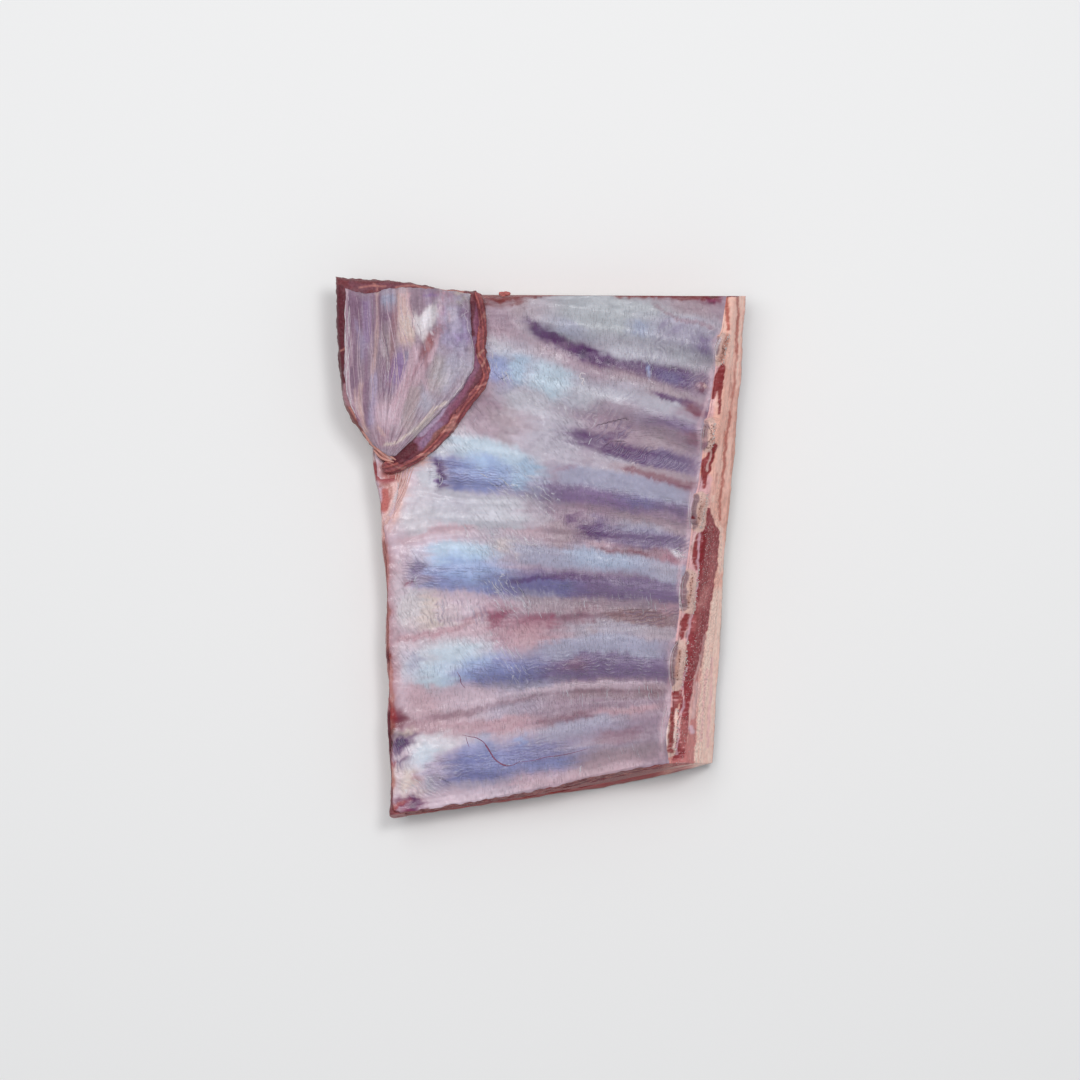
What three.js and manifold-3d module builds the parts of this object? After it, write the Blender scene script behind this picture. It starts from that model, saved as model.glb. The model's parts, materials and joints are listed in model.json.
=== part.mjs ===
// A slab of raw lamb ribs lying on its outer, fatty side with the lining of the chest up.
// Millimetres, +Z up, +X towards the sawn ends of the ribs, +Y towards the head of the animal.
// Every layer is a box bent through one slab-shaped space, so that all of them share the same cut faces.
import * as THREE from "three";
import { mergeVertices } from "three/addons/utils/BufferGeometryUtils.js";
import Module from "manifold-3d";

const wasm = await Module();
wasm.setup();

// Driving dimensions
const GAP = 0.35; // left between pieces that touch
const WALL_THICKNESS = 7.4; // lining, ribs and the meat between them
const STERNUM_THICKNESS = 12; // whole slab at the breastbone
const TAIL_THICKNESS = 23.5; // whole slab at the sawn edge, tail end
const HEAD_THICKNESS = 15.5; // whole slab at the sawn edge, head end
const RIB_COVER = 2; // lining over the crown of a rib
const RIB_HALF_DEPTH = 2.8;
const CARTILAGE_HALF_WIDTH = 7.6;
const BONE_HALF_WIDTH = 6.3;
const RIDGE_HEIGHT = 2.7; // how far a rib lifts the lining
// The skirt is a thin muscle folded over the sternum side at the head end. It falls by so much for
// each millimetre that it hangs over the slab's sides, and the ribs under it show a little.
const SKIRT = { thickness: 4.6, rim: 1.5, sideDroop: 0.28, headDroop: 0.3, ribs: 0.15, fold: 0.5 };
const SKIN_THICKNESS = 0.9; // silverskin on the skirt

// The slab's four sides, each from its start to its end: on the lining side and on the fat side
const LINING_SIDE = {
  tail: [[-49.3, -88], [-26.7, -85.2], [-4, -81], [18.7, -75.6], [41.3, -71]],
  head: [[-54.7, 84.2], [-26, 83.4], [3, 84.4], [32, 84.4], [60.7, 84]],
  sternum: [[-49.3, -88], [-50.4, -45], [-51.8, 0], [-54.6, 42], [-54.7, 84.2]],
  sawn: [[41.3, -71], [43.2, -36], [48.2, 0], [54.3, 42], [60.7, 84]],
};
const FAT_SIDE = {
  tail: [[-48.2, -90.2], [-23, -86.4], [3.5, -82.4], [30, -77.6], [56.2, -71.4]],
  head: [[-53.6, 85.6], [-24, 85.4], [6.6, 85.2], [37.3, 85], [68, 84.6]],
  sternum: [[-48.2, -90.2], [-49.2, -45], [-50.6, 0], [-53.4, 42], [-53.6, 85.6]],
  sawn: [[56.2, -71.4], [59.2, -36], [62.3, 0], [65.4, 42], [68, 84.6]],
};
const SKIRT_SIDE = {
  tail: [[-65.7, 49.7], [-60, 39.3], [-55, 33], [-48.3, 26.9]],
  head: [[-68, 90.7], [-50, 89.3], [-33.5, 87], [-21, 85.6]],
  sternum: [[-65.7, 49.7], [-67.3, 69.7], [-68, 90.7]],
  sawn: [[-48.3, 26.9], [-32, 37.5], [-20.5, 52.3], [-16.4, 61], [-19.3, 68], [-18, 75.7], [-21, 85.6]],
};

// Ribs from the head end: each one's line from its sternum end to the saw cut, and the x of its
// joint, where cartilage turns to bone
const RIBS = [
  { line: [[-10, 75.6], [15, 74], [38, 70.8], [61, 66.6]], joint: 4, slim: 0.84 },
  { line: [[-28, 59.4], [0, 55.4], [27, 48.6], [57, 37.8]], joint: 15 },
  { line: [[-36, 25.8], [-8, 22.4], [23, 18.8], [54, 13]], joint: 3 },
  { line: [[-44.5, -8], [-15, -8], [18, -10.6], [51.5, -14.2]], joint: -13 },
  { line: [[-43.6, -42], [-16, -39.6], [17, -37.2], [49.5, -38]], joint: -12 },
  { line: [[-41.5, -75.6], [-16, -70.4], [14, -65.2], [46.5, -61.8]], joint: -5 },
];

const SLAB_WIDTH = 100; // about, from the sternum to the saw cut
const SLAB_LENGTH = 172; // from tail to head
const TAIL_Y = -88;
const HEAD_Y = 84;
// The saw cut slants down from the lining. The lining is drawn back from it with a round edge.
const CUT = { rounding: 0.36, tightness: 10, lean: 0.5 };

const clamp = THREE.MathUtils.clamp;
const mix = THREE.MathUtils.lerp;
const smooth = (a, b, t) => THREE.MathUtils.smoothstep(t, a, b);

function splineOf(points) {
  return new THREE.SplineCurve(points.map(([x, y]) => new THREE.Vector2(x, y)));
}

// A patch between four curved sides: sternum and sawn run with v, tail and head run with u
function patchOf(sides) {
  const c = Object.fromEntries(Object.entries(sides).map(([k, pts]) => [k, splineOf(pts)]));
  const corner = [c.tail.getPoint(0), c.tail.getPoint(1), c.head.getPoint(0), c.head.getPoint(1)];
  return (u, v) => {
    const [a, b, d, e] = [c.tail, c.head, c.sternum, c.sawn].map((s, i) =>
      s.getPoint(clamp(i < 2 ? u : v, 0, 1)),
    );
    const at = (k) =>
      mix(a[k], b[k], v) + mix(d[k], e[k], u) -
      mix(mix(corner[0][k], corner[1][k], u), mix(corner[2][k], corner[3][k], u), v);
    return [at("x"), at("y")];
  };
}
const liningPatch = patchOf(LINING_SIDE);
const fatPatch = patchOf(FAT_SIDE);
const skirtPatch = patchOf(SKIRT_SIDE);

// The underside: flat where it rests, curling up like the rib cage towards all sides
const REST = { x: 4, halfX: 20, halfY: 58 };
const CURL = { sawn: 125, sternum: 150, ends: 180 }; // radii
function undersideZ(x, y) {
  const across = Math.max(0, Math.abs(x - REST.x) - REST.halfX);
  const along = Math.max(0, Math.abs(y) - REST.halfY);
  return across ** 2 / (2 * (x > REST.x ? CURL.sawn : CURL.sternum)) + along ** 2 / (2 * CURL.ends);
}

function thickness(x, y) {
  const sawn = mix(TAIL_THICKNESS, HEAD_THICKNESS, smooth(-90, 100, y));
  return mix(STERNUM_THICKNESS, sawn, smooth(-58, 66, x));
}

const ribs = RIBS.map(({ line, joint, slim = 1 }) => {
  const curve = splineOf(line);
  const [start, end] = [line[0][0], line.at(-1)[0]];
  const y = (x) => curve.getPoint(clamp((x - start) / (end - start), 0, 1)).y;
  const halfWidth = (x) => {
    return slim * mix(CARTILAGE_HALF_WIDTH, BONE_HALF_WIDTH, smooth(joint - 6, joint + 5, x));
  };
  return { start, end, y, halfWidth, slope: (y(end) - y(end - 3)) / 3 };
});

const RIDGE_SPREAD = 1.35; // ridge width over rib width
const RIDGE_FADE = 9; // length over which a ridge starts
function ridgeZ(x, y) {
  let high = 0;
  for (const rib of ribs) {
    const off = (y - rib.y(x)) / (RIDGE_SPREAD * rib.halfWidth(x));
    if (Math.abs(off) >= 1) continue;
    const lift = RIDGE_HEIGHT * Math.cos((Math.PI / 2) * off) ** 2;
    high = Math.max(high, lift * smooth(rib.start - RIDGE_FADE / 2, rib.start + RIDGE_FADE, x));
  }
  return high;
}
const liningZ = (x, y) => undersideZ(x, y) + thickness(x, y) + ridgeZ(x, y);

// A point of the slab: u from the sternum to the saw cut, v from tail to head, w from fat to lining.
// over lifts it above the lining, and u or v outside 0 to 1 goes on past the sides.
function slabPoint(u, v, w, over = 0) {
  const [uIn, vIn] = [clamp(u, 0, 1), clamp(v, 0, 1)];
  const inner = liningPatch(uIn, vIn);
  const outer = fatPatch(uIn, vIn);
  const nearCut = smooth(0.75, 1, u);
  const slant = mix(w, (1 - CUT.rounding) * w + CUT.rounding * clamp(w, 0, 1) ** CUT.tightness, nearCut);
  const x = mix(outer[0], inner[0], slant) + (u - uIn) * SLAB_WIDTH;
  const y = mix(outer[1], inner[1], w) + (v - vIn) * SLAB_LENGTH;
  const wallBase = 1 - WALL_THICKNESS / thickness(x, y);
  const lift = ridgeZ(x, y) * smooth(wallBase, 1, w);
  const z = undersideZ(x, y) + w * thickness(x, y) + lift + over;
  return [x - CUT.lean * lift * nearCut, y, z];
}

// Where the layers part, as w
function wallFloor(u, v) {
  const [x, y] = liningPatch(u, v);
  return 1 - WALL_THICKNESS / thickness(x, y);
}
const MUSCLE = { least: 1, tail: 5, middle: 8.6, fat: 1.6 };
function muscleThickness(u, v) {
  const thick = mix(MUSCLE.tail, MUSCLE.middle, smooth(0, 0.42, v)) * (1 - smooth(0.48, 0.64, v));
  return MUSCLE.least + thick * smooth(0.1, 0.9, u);
}
function muscleFloor(u, v) {
  const [x, y] = liningPatch(u, v);
  const t = thickness(x, y);
  return Math.max(MUSCLE.fat / t, wallFloor(u, v) - (GAP + muscleThickness(u, v)) / t);
}

// Geometry and solids
function solidOf(geometry) {
  const bare = geometry.clone();
  bare.deleteAttribute("normal");
  bare.deleteAttribute("uv");
  const merged = mergeVertices(bare, 1e-4);
  return new wasm.Manifold(
    new wasm.Mesh({
      numProp: 3,
      vertProperties: merged.attributes.position.array,
      triVerts: new Uint32Array(merged.index.array),
    }),
  );
}

function geometryOf(solid) {
  const { vertProperties, triVerts } = solid.getMesh();
  const geometry = new THREE.BufferGeometry();
  geometry.setAttribute("position", new THREE.BufferAttribute(vertProperties, 3));
  geometry.setIndex(new THREE.BufferAttribute(triVerts, 1));
  return geometry;
}

// A box with its corners run through place(a, b, c), each of them from 0 to 1
function bentBox(cells, place) {
  const box = new THREE.BoxGeometry(1, 1, 1, ...cells);
  const p = box.attributes.position;
  for (let i = 0; i < p.count; i++) {
    p.setXYZ(i, ...place(p.getX(i) + 0.5, p.getY(i) + 0.5, p.getZ(i) + 0.5));
  }
  return solidOf(box);
}

// A layer of the slab between two depths, each a function of u and v.
// steps gives the heights of its own rings between them.
function layer(cells, from, low, high, over = 0, steps = (c) => c) {
  return bentBox(cells, (a, b, c) => {
    const u = mix(from, 1, a);
    const w = mix(low(clamp(u, 0, 1), b), high(clamp(u, 0, 1), b), steps(c));
    return slabPoint(u, b, w, over * c);
  });
}

// The saw cut's x at a given y and z
function sawnX(y, z) {
  let [v, w] = [0.5, 0.8];
  let at = slabPoint(1, v, w);
  for (let pass = 0; pass < 14; pass++) {
    v = clamp(v + (y - at[1]) / SLAB_LENGTH, 0, 1);
    w += (z - at[2]) / TAIL_THICKNESS;
    at = slabPoint(1, v, w);
  }
  return at[0];
}

// One rib, grown by extra all round. Past the saw cut it runs straight on for another step.
const RIB_SIDES = 10;
const RIB_STEPS = 13;
const RIB_TIP = 0.1; // share of the length over which the sternum end rounds off
function ribSolid(rib, extra, past) {
  const steps = RIB_STEPS + (past ? 1 : 0);
  const tube = new THREE.CylinderGeometry(1, 1, 1, RIB_SIDES, steps);
  const p = tube.attributes.position;
  const from = rib.start - extra;
  for (let i = 0; i < p.count; i++) {
    const step = (0.5 + p.getY(i)) * steps;
    const s = Math.min(1, step / RIB_STEPS);
    const beyond = step > RIB_STEPS + 0.5 ? past : 0;
    const tip = 0.45 + 0.55 * Math.sqrt(1 - (1 - Math.min(1, s / RIB_TIP)) ** 2);
    const [across, up] = [p.getX(i), p.getZ(i)];
    let [x, y, z] = [mix(from, rib.end, s), 0, 0];
    for (let pass = 0; pass < 4; pass++) {
      y = rib.y(x) + across * rib.halfWidth(x) * tip;
      z = liningZ(x, rib.y(x)) - RIB_COVER + (up * tip - 1) * RIB_HALF_DEPTH;
      x = mix(from, sawnX(y, z), s);
    }
    p.setXYZ(i, x + beyond, y + across * extra + beyond * rib.slope, z + up * extra);
  }
  return solidOf(mirrored(tube));
}

// Swapping two axes turns a shape inside out, so its triangles are wound the other way again
function mirrored(geometry) {
  const index = geometry.index.array;
  for (let i = 0; i < index.length; i += 3) {
    [index[i + 1], index[i + 2]] = [index[i + 2], index[i + 1]];
  }
  return geometry;
}

// The split breastbone along the sternum side. It lies under the lining, and is bare beside the skirt.
// Its reach into the slab is in shares of the slab's width, and where it is bare in shares of its length.
const STERNUM = { width: 0.052, bare: 0.085, proud: 0.007, low: 2.4, cover: 1.6, rise: 0.6, knots: 6 };
const BARE = { from: 0.54, to: 0.66, fade: 0.03 };
const STERNUM_STEPS = 30;
function breastboneSolid(extra) {
  const more = extra > 0 ? 1 : 0; // a hole for it runs on by a step at both ends
  const steps = STERNUM_STEPS + 2 * more;
  return bentBox([2, steps, 2], (a, b, c) => {
    const v = (b * steps - more) / STERNUM_STEPS;
    const bare = smooth(BARE.from, BARE.from + BARE.fade, v) * (1 - smooth(BARE.to - BARE.fade, BARE.to, v));
    const knot = 0.004 * Math.cos(2 * Math.PI * STERNUM.knots * v);
    const wide = extra / SLAB_WIDTH;
    const left = -STERNUM.proud - knot - wide;
    const right = mix(STERNUM.width, STERNUM.bare, bare) + knot + wide;
    const low = (STERNUM.low - extra) / STERNUM_THICKNESS;
    const high = 1 - (mix(STERNUM.cover, -STERNUM.rise, bare) - extra) / STERNUM_THICKNESS;
    return slabPoint(mix(left, right, a), v, mix(low, high, c));
  });
}

// The skirt: a thin muscle lying on the lining and past its sternum side, with a silverskin inside its rim
const SKIRT_CELLS = [14, 18];
function skirtUnder(x, y, ridges = 1) {
  const sideX = slabPoint(0, clamp((y - TAIL_Y) / SLAB_LENGTH, 0, 1), 1)[0];
  const droop = SKIRT.sideDroop * Math.max(0, sideX - x) + SKIRT.headDroop * Math.max(0, y - HEAD_Y);
  return liningZ(x, y) - (1 - ridges) * ridgeZ(x, y) - droop;
}
function skirtTop(x, y, u, v) {
  const [n, m] = SKIRT_CELLS;
  const full = smooth(0, 1, Math.min(u * n, (1 - u) * n, v * m, (1 - v) * m));
  const folds = SKIRT.fold * Math.sin(0.55 * x + 0.12 * y) * smooth(0.1, 0.5, v);
  return skirtUnder(x, y, SKIRT.ribs) + mix(SKIRT.rim, SKIRT.thickness + folds, full);
}
function skirtSolid() {
  return bentBox([...SKIRT_CELLS, 1], (a, b, c) => {
    const [x, y] = skirtPatch(a, b);
    return [x, y, c ? skirtTop(x, y, a, b) : skirtUnder(x, y) - SKIRT.rim / 2];
  });
}
function skinSolid() {
  const [n, m] = SKIRT_CELLS;
  return bentBox([n - 2, m - 2, 1], (a, b, c) => {
    const [u, v] = [mix(1 / n, 1 - 1 / n, a), mix(1 / m, 1 - 1 / m, b)];
    const [x, y] = skirtPatch(u, v);
    return [x, y, skirtTop(x, y, u, v) + GAP + c * SKIN_THICKNESS];
  });
}

// Assembly
const group = new THREE.Group();
const COLOURS = {
  fat: new THREE.MeshStandardMaterial({ color: 0xe9c6b4, roughness: 0.55, metalness: 0 }),
  muscle: new THREE.MeshStandardMaterial({ color: 0x8e3a40, roughness: 0.45, metalness: 0 }),
  lining: new THREE.MeshStandardMaterial({ color: 0xb9a9bb, roughness: 0.35, metalness: 0 }),
  bone: new THREE.MeshStandardMaterial({ color: 0xd9cfc0, roughness: 0.6, metalness: 0 }),
  sternum: new THREE.MeshStandardMaterial({ color: 0xd98a78, roughness: 0.5, metalness: 0 }),
  silverskin: new THREE.MeshStandardMaterial({ color: 0xb09bb0, roughness: 0.35, metalness: 0 }),
};
function add(name, solid, material) {
  const mesh = new THREE.Mesh(geometryOf(solid), material);
  mesh.name = name;
  group.add(mesh);
}

const EDGE = 0.012; // the layers start this far from the sternum side, inside the breastbone's face
const WALL_CELLS = [14, 42, 3];
const WALL_RINGS = (c) => 1 - (1 - c) ** 1.8;
const UNDER_CELLS = [10, 22, 1];
const sternumHole = breastboneSolid(GAP);
const ribSolids = ribs.map((rib) => ribSolid(rib, 0, 0).subtract(sternumHole));
const ribHoles = ribs.map((rib) => ribSolid(rib, GAP, 6));

let wall = layer(WALL_CELLS, EDGE, wallFloor, () => 1, 0, WALL_RINGS).subtract(sternumHole);
for (const hole of ribHoles) wall = wall.subtract(hole);
const lift = (f, by) => (u, v) => f(u, v) - by / thickness(...liningPatch(u, v));
const muscle = layer(UNDER_CELLS, EDGE, muscleFloor, lift(wallFloor, GAP)).subtract(sternumHole);
const fat = layer(UNDER_CELLS, EDGE, () => 0, lift(muscleFloor, GAP)).subtract(sternumHole);

const underSkirt = layer([...WALL_CELLS.slice(0, 2), 1], -0.004, () => 0.3, () => 1, GAP);
const skirt = skirtSolid().subtract(underSkirt).subtract(sternumHole);

add("fat_cap", fat, COLOURS.fat);
add("breast_muscle", muscle, COLOURS.muscle);
add("rib_wall", wall, COLOURS.lining);
add("breastbone", breastboneSolid(0), COLOURS.sternum);
ribSolids.forEach((solid, i) => add(`rib_${i + 1}`, solid, COLOURS.bone));
add("skirt_muscle", skirt, COLOURS.muscle);
add("skirt_silverskin", skinSolid(), COLOURS.silverskin);

export default group;
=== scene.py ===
import json
import math

import bmesh
import bpy
import numpy as np
from mathutils import Matrix, Vector

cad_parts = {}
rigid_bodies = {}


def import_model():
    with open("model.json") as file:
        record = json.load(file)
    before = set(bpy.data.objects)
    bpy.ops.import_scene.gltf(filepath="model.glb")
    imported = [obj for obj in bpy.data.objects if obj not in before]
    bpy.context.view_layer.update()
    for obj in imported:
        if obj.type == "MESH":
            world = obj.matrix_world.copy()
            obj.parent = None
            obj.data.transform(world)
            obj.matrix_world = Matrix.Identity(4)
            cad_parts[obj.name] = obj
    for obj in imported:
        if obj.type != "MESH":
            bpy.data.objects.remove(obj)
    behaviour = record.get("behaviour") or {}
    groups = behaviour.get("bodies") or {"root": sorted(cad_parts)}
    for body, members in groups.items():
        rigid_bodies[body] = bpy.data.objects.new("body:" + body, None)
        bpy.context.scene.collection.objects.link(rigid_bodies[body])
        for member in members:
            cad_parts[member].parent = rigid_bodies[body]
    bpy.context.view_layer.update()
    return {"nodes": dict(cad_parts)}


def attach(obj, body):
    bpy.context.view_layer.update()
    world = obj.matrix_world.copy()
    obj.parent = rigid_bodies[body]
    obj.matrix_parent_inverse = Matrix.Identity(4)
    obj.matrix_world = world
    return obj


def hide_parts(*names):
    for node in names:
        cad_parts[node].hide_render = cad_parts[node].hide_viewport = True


for startObject in list(bpy.data.objects):
    bpy.data.objects.remove(startObject, do_unlink=True)
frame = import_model()
print("frame loaded:", len(frame["nodes"]), "nodes")

mm = 0.001  # shapes are worked out in millimetres and go into the meshes in metres

# The photo's pixels as places on the slab: the pixel over the origin, and pixels to a millimetre
photo = {"centreX": 540, "centreY": 549, "perMm": 3}

# The slab as the frame has it. Each side runs from its start to its end.
slab = {
    "wallThickness": 7.4,
    "sternumThickness": 12,
    "tailThickness": 23.5,
    "headThickness": 15.5,
    "thinnerAlong": (-90, 100),
    "thickerAcross": (-58, 66),
    "ridgeHeight": 2.7,
    "ridgeSpread": 1.35,
    "ridgeFade": 9,
    "restX": 4,
    "restHalfX": 20,
    "restHalfY": 58,
    "curlSawn": 125,
    "curlSternum": 150,
    "curlEnds": 180,
    "cutRounding": 0.36,
    "cutTightness": 10,
    "cutLean": 0.45,
    "width": 100,
    "length": 172,
    "tailY": -88,
    "headY": 84,
}
liningSide = {
    "tail": [(-49.3, -88), (-26.7, -85.2), (-4, -81), (18.7, -75.6), (41.3, -71)],
    "head": [(-54.7, 84.2), (-26, 83.4), (3, 84.4), (32, 84.4), (60.7, 84)],
    "sternum": [(-49.3, -88), (-50.4, -45), (-51.6, 0), (-56, 42), (-54.7, 84.2)],
    "sawn": [(41.3, -71), (43.2, -36), (48.2, 0), (54.3, 42), (60.7, 84)],
}
fatSide = {
    "tail": [(-48.2, -90.2), (-23, -86.4), (3.5, -82.6), (30, -78.4), (58.2, -71.8)],
    "head": [(-53.6, 85.6), (-24, 85.4), (6.6, 85.2), (37.3, 85), (69, 84.6)],
    "sternum": [(-48.2, -90.2), (-49.2, -45), (-50.4, 0), (-54.9, 42), (-53.6, 85.6)],
    "sawn": [(58.2, -71.8), (60.4, -36), (62.3, 0), (66.3, 42), (69, 84.6)],
}
ribs = [
    {"line": [(-10, 75.6), (15, 74), (38, 70.8), (61, 66.6)], "joint": 4, "slim": 0.84},
    {"line": [(-28, 59.4), (0, 55.4), (27, 48.6), (57, 37.8)], "joint": 15, "slim": 1},
    {"line": [(-36, 25.8), (-8, 22.4), (23, 18.8), (54, 13)], "joint": 3, "slim": 1},
    {"line": [(-44.5, -8), (-15, -8), (18, -10.6), (51.5, -14.2)], "joint": -13, "slim": 1},
    {"line": [(-43.6, -42), (-16, -39.6), (17, -37.2), (49.5, -38)], "joint": -12, "slim": 1},
    {"line": [(-41.5, -75.6), (-16, -70.4), (14, -65.2), (46.5, -61.8)], "joint": -5, "slim": 1},
]
ribShape = {"cartilageHalfWidth": 7.6, "boneHalfWidth": 6.3, "beforeJoint": 6, "pastJoint": 5}


def mix(a, b, t):
    return a + (b - a) * t


def ease(a, b, t):
    t = np.clip((t - a) / (b - a), 0, 1)
    return t * t * (3 - 2 * t)


# The points of a path that is written as x, y, x, y and so on
def pairs(path):
    return np.reshape(path, (-1, 2)).astype(float)


def toPhoto(x, y):
    return photo["centreX"] + photo["perMm"] * x, photo["centreY"] - photo["perMm"] * y


def fromPhoto(path):
    px, py = pairs(path).T
    return np.stack([px - photo["centreX"], photo["centreY"] - py], 1) / photo["perMm"]


# A point at t, from 0 to 1, on the smooth line through the points
def splinePoint(points, t):
    points = pairs(points)
    last = len(points) - 1
    along = np.clip(t, 0, 1) * last
    i = np.minimum(along.astype(int), last - 1)
    t = (along - i)[..., None]
    before, here = points[np.maximum(i - 1, 0)], points[i]
    there, beyond = points[i + 1], points[np.minimum(i + 2, last)]
    leaving, arriving = (there - before) / 2, (beyond - here) / 2
    cubic = 2 * here - 2 * there + leaving + arriving
    square = -3 * here + 3 * there - 2 * leaving - arriving
    return ((cubic * t + square) * t + leaving) * t + here


# Points at t on a path: on a smooth line, or on a straight one where it has only two points
def alongPath(path, t):
    path = pairs(path)
    return splinePoint(path, t) if len(path) > 2 else mix(*path, t[:, None])


# A patch between four curved sides: sternum and sawn run with v, tail and head run with u
def patchPoint(sides, u, v):
    tail, head = splinePoint(sides["tail"], u), splinePoint(sides["head"], u)
    sternum, sawn = splinePoint(sides["sternum"], v), splinePoint(sides["sawn"], v)
    tailEnds, headEnds = pairs(sides["tail"])[[0, -1]], pairs(sides["head"])[[0, -1]]
    u, v = u[..., None], v[..., None]
    corners = mix(mix(*tailEnds, u), mix(*headEnds, u), v)
    place = mix(tail, head, v) + mix(sternum, sawn, u) - corners
    return place[..., 0], place[..., 1]


def undersideZ(x, y):
    across = np.maximum(0, np.abs(x - slab["restX"]) - slab["restHalfX"])
    along = np.maximum(0, np.abs(y) - slab["restHalfY"])
    radius = np.where(x > slab["restX"], slab["curlSawn"], slab["curlSternum"])
    return across**2 / (2 * radius) + along**2 / (2 * slab["curlEnds"])


def slabThickness(x, y):
    sawn = mix(slab["tailThickness"], slab["headThickness"], ease(*slab["thinnerAlong"], y))
    return mix(slab["sternumThickness"], sawn, ease(*slab["thickerAcross"], x))


def ribEnds(rib):
    return rib["line"][0][0], rib["line"][-1][0]


def ribY(rib, x):
    start, end = ribEnds(rib)
    return splinePoint(rib["line"], (x - start) / (end - start))[..., 1]


def ribHalfWidth(rib, x):
    bone = ease(rib["joint"] - ribShape["beforeJoint"], rib["joint"] + ribShape["pastJoint"], x)
    return rib["slim"] * mix(ribShape["cartilageHalfWidth"], ribShape["boneHalfWidth"], bone)


def ridgeZ(x, y):
    high = np.zeros_like(x)
    for rib in ribs:
        start = ribEnds(rib)[0]
        off = (y - ribY(rib, x)) / (slab["ridgeSpread"] * ribHalfWidth(rib, x))
        lift = slab["ridgeHeight"] * np.cos(np.pi / 2 * np.clip(off, -1, 1)) ** 2
        lift = lift * ease(start - slab["ridgeFade"] / 2, start + slab["ridgeFade"], x)
        high = np.maximum(high, lift)
    return high


def liningZ(x, y):
    return undersideZ(x, y) + slabThickness(x, y) + ridgeZ(x, y)


# A point of the slab: u from the sternum to the saw cut, v from tail to head, w from fat to lining
def slabPoint(u, v, w):
    uIn, vIn = np.clip(u, 0, 1), np.clip(v, 0, 1)
    innerX, innerY = patchPoint(liningSide, uIn, vIn)
    outerX, outerY = patchPoint(fatSide, uIn, vIn)
    nearCut = ease(0.75, 1, u)
    rounded = mix(w, np.clip(w, 0, 1) ** slab["cutTightness"], slab["cutRounding"])
    x = mix(outerX, innerX, mix(w, rounded, nearCut)) + (u - uIn) * slab["width"]
    y = mix(outerY, innerY, w) + (v - vIn) * slab["length"]
    wallBase = 1 - slab["wallThickness"] / slabThickness(x, y)
    nearLining = ease(wallBase, 1, w)
    ridge = ridgeZ(x, y)
    z = undersideZ(x, y) + w * slabThickness(x, y) + ridge * nearLining
    return x + slab["cutLean"] * (slab["ridgeHeight"] - ridge) * nearLining * nearCut, y, z


# The wall's lower side and the muscle's, as w
def wallFloor(u, v):
    x, y = patchPoint(liningSide, u, v)
    return 1 - slab["wallThickness"] / slabThickness(x, y)


# The breast muscle's thickness. Along the slab it swells and then fades towards the head end.
muscleLayer = {"least": 1, "tail": 5, "middle": 8.6, "fatBelow": 1.6, "swell": (0, 0.42), "fade": (0.48, 0.64)}


def muscleFloor(u, v):
    x, y = patchPoint(liningSide, u, v)
    thick = mix(muscleLayer["tail"], muscleLayer["middle"], ease(*muscleLayer["swell"], v))
    thick = thick * (1 - ease(*muscleLayer["fade"], v))
    thick = muscleLayer["least"] + thick * ease(0.1, 0.9, u)
    whole = slabThickness(x, y)
    return np.maximum(muscleLayer["fatBelow"] / whole, wallFloor(u, v) - thick / whole)


# Smooth random ups and downs between -1 and 1, about size mm across
def cloud(x, y, size, seed):
    table = np.random.RandomState(seed).uniform(-1, 1, (64, 64))
    gx, gy = x / size + 500, y / size + 500
    ix, iy = np.floor(gx).astype(int), np.floor(gy).astype(int)
    fx, fy = gx - ix, gy - iy
    fx, fy = fx * fx * (3 - 2 * fx), fy * fy * (3 - 2 * fy)
    low = mix(table[ix % 64, iy % 64], table[(ix + 1) % 64, iy % 64], fx)
    high = mix(table[ix % 64, (iy + 1) % 64], table[(ix + 1) % 64, (iy + 1) % 64], fx)
    return mix(low, high, fy)


def clouds(x, y, size, seed, steps=3):
    return sum(cloud(x, y, size / 2**i, seed + i) / 2**i for i in range(steps))


# Whether points of a cell box lie on its first face along an axis, on its last one, or on either
def onFirst(t):
    return t < 0.001


def onLast(t):
    return t > 0.999


def onEnds(t):
    return onFirst(t) | onLast(t)


# A cube cut into cells along its three axes, with its corners at 0 and 1
def cellBox(cells):
    bm = bmesh.new()
    bmesh.ops.create_cube(bm, size=1)
    bmesh.ops.translate(bm, vec=(0.5, 0.5, 0.5), verts=bm.verts)
    for axis, count in enumerate(cells):
        along = [e for e in bm.edges if abs(e.verts[0].co[axis] - e.verts[1].co[axis]) > 0.001]
        if count > 1:
            bmesh.ops.subdivide_edges(bm, edges=along, cuts=count - 1, use_grid_fill=True)
    return bm


# Thins the hidden inner face of a cell box, leaving its border and the other five faces
def thinHiddenFace(bm, height, passes=6):
    inner = [v for v in bm.verts if not onEnds(v.co.x) and not onEnds(v.co.y)]
    hidden = [v for v in inner if onFirst(abs(v.co.z - height))]
    bmesh.ops.unsubdivide(bm, verts=hidden, iterations=passes)


def newObject(name, data):
    obj = bpy.data.objects.new(name, data)
    bpy.context.scene.collection.objects.link(obj)
    return obj


def smooth(mesh):
    mesh.polygons.foreach_set("use_smooth", np.ones(len(mesh.polygons), bool))


def addColors(mesh, layer, colors):
    full = np.ones((len(mesh.vertices), 4))
    full[:, : colors.shape[-1]] = colors
    attribute = mesh.attributes.new(layer, "FLOAT_COLOR", "POINT")
    attribute.data.foreach_set("color", full.astype(np.float32).ravel())


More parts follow.
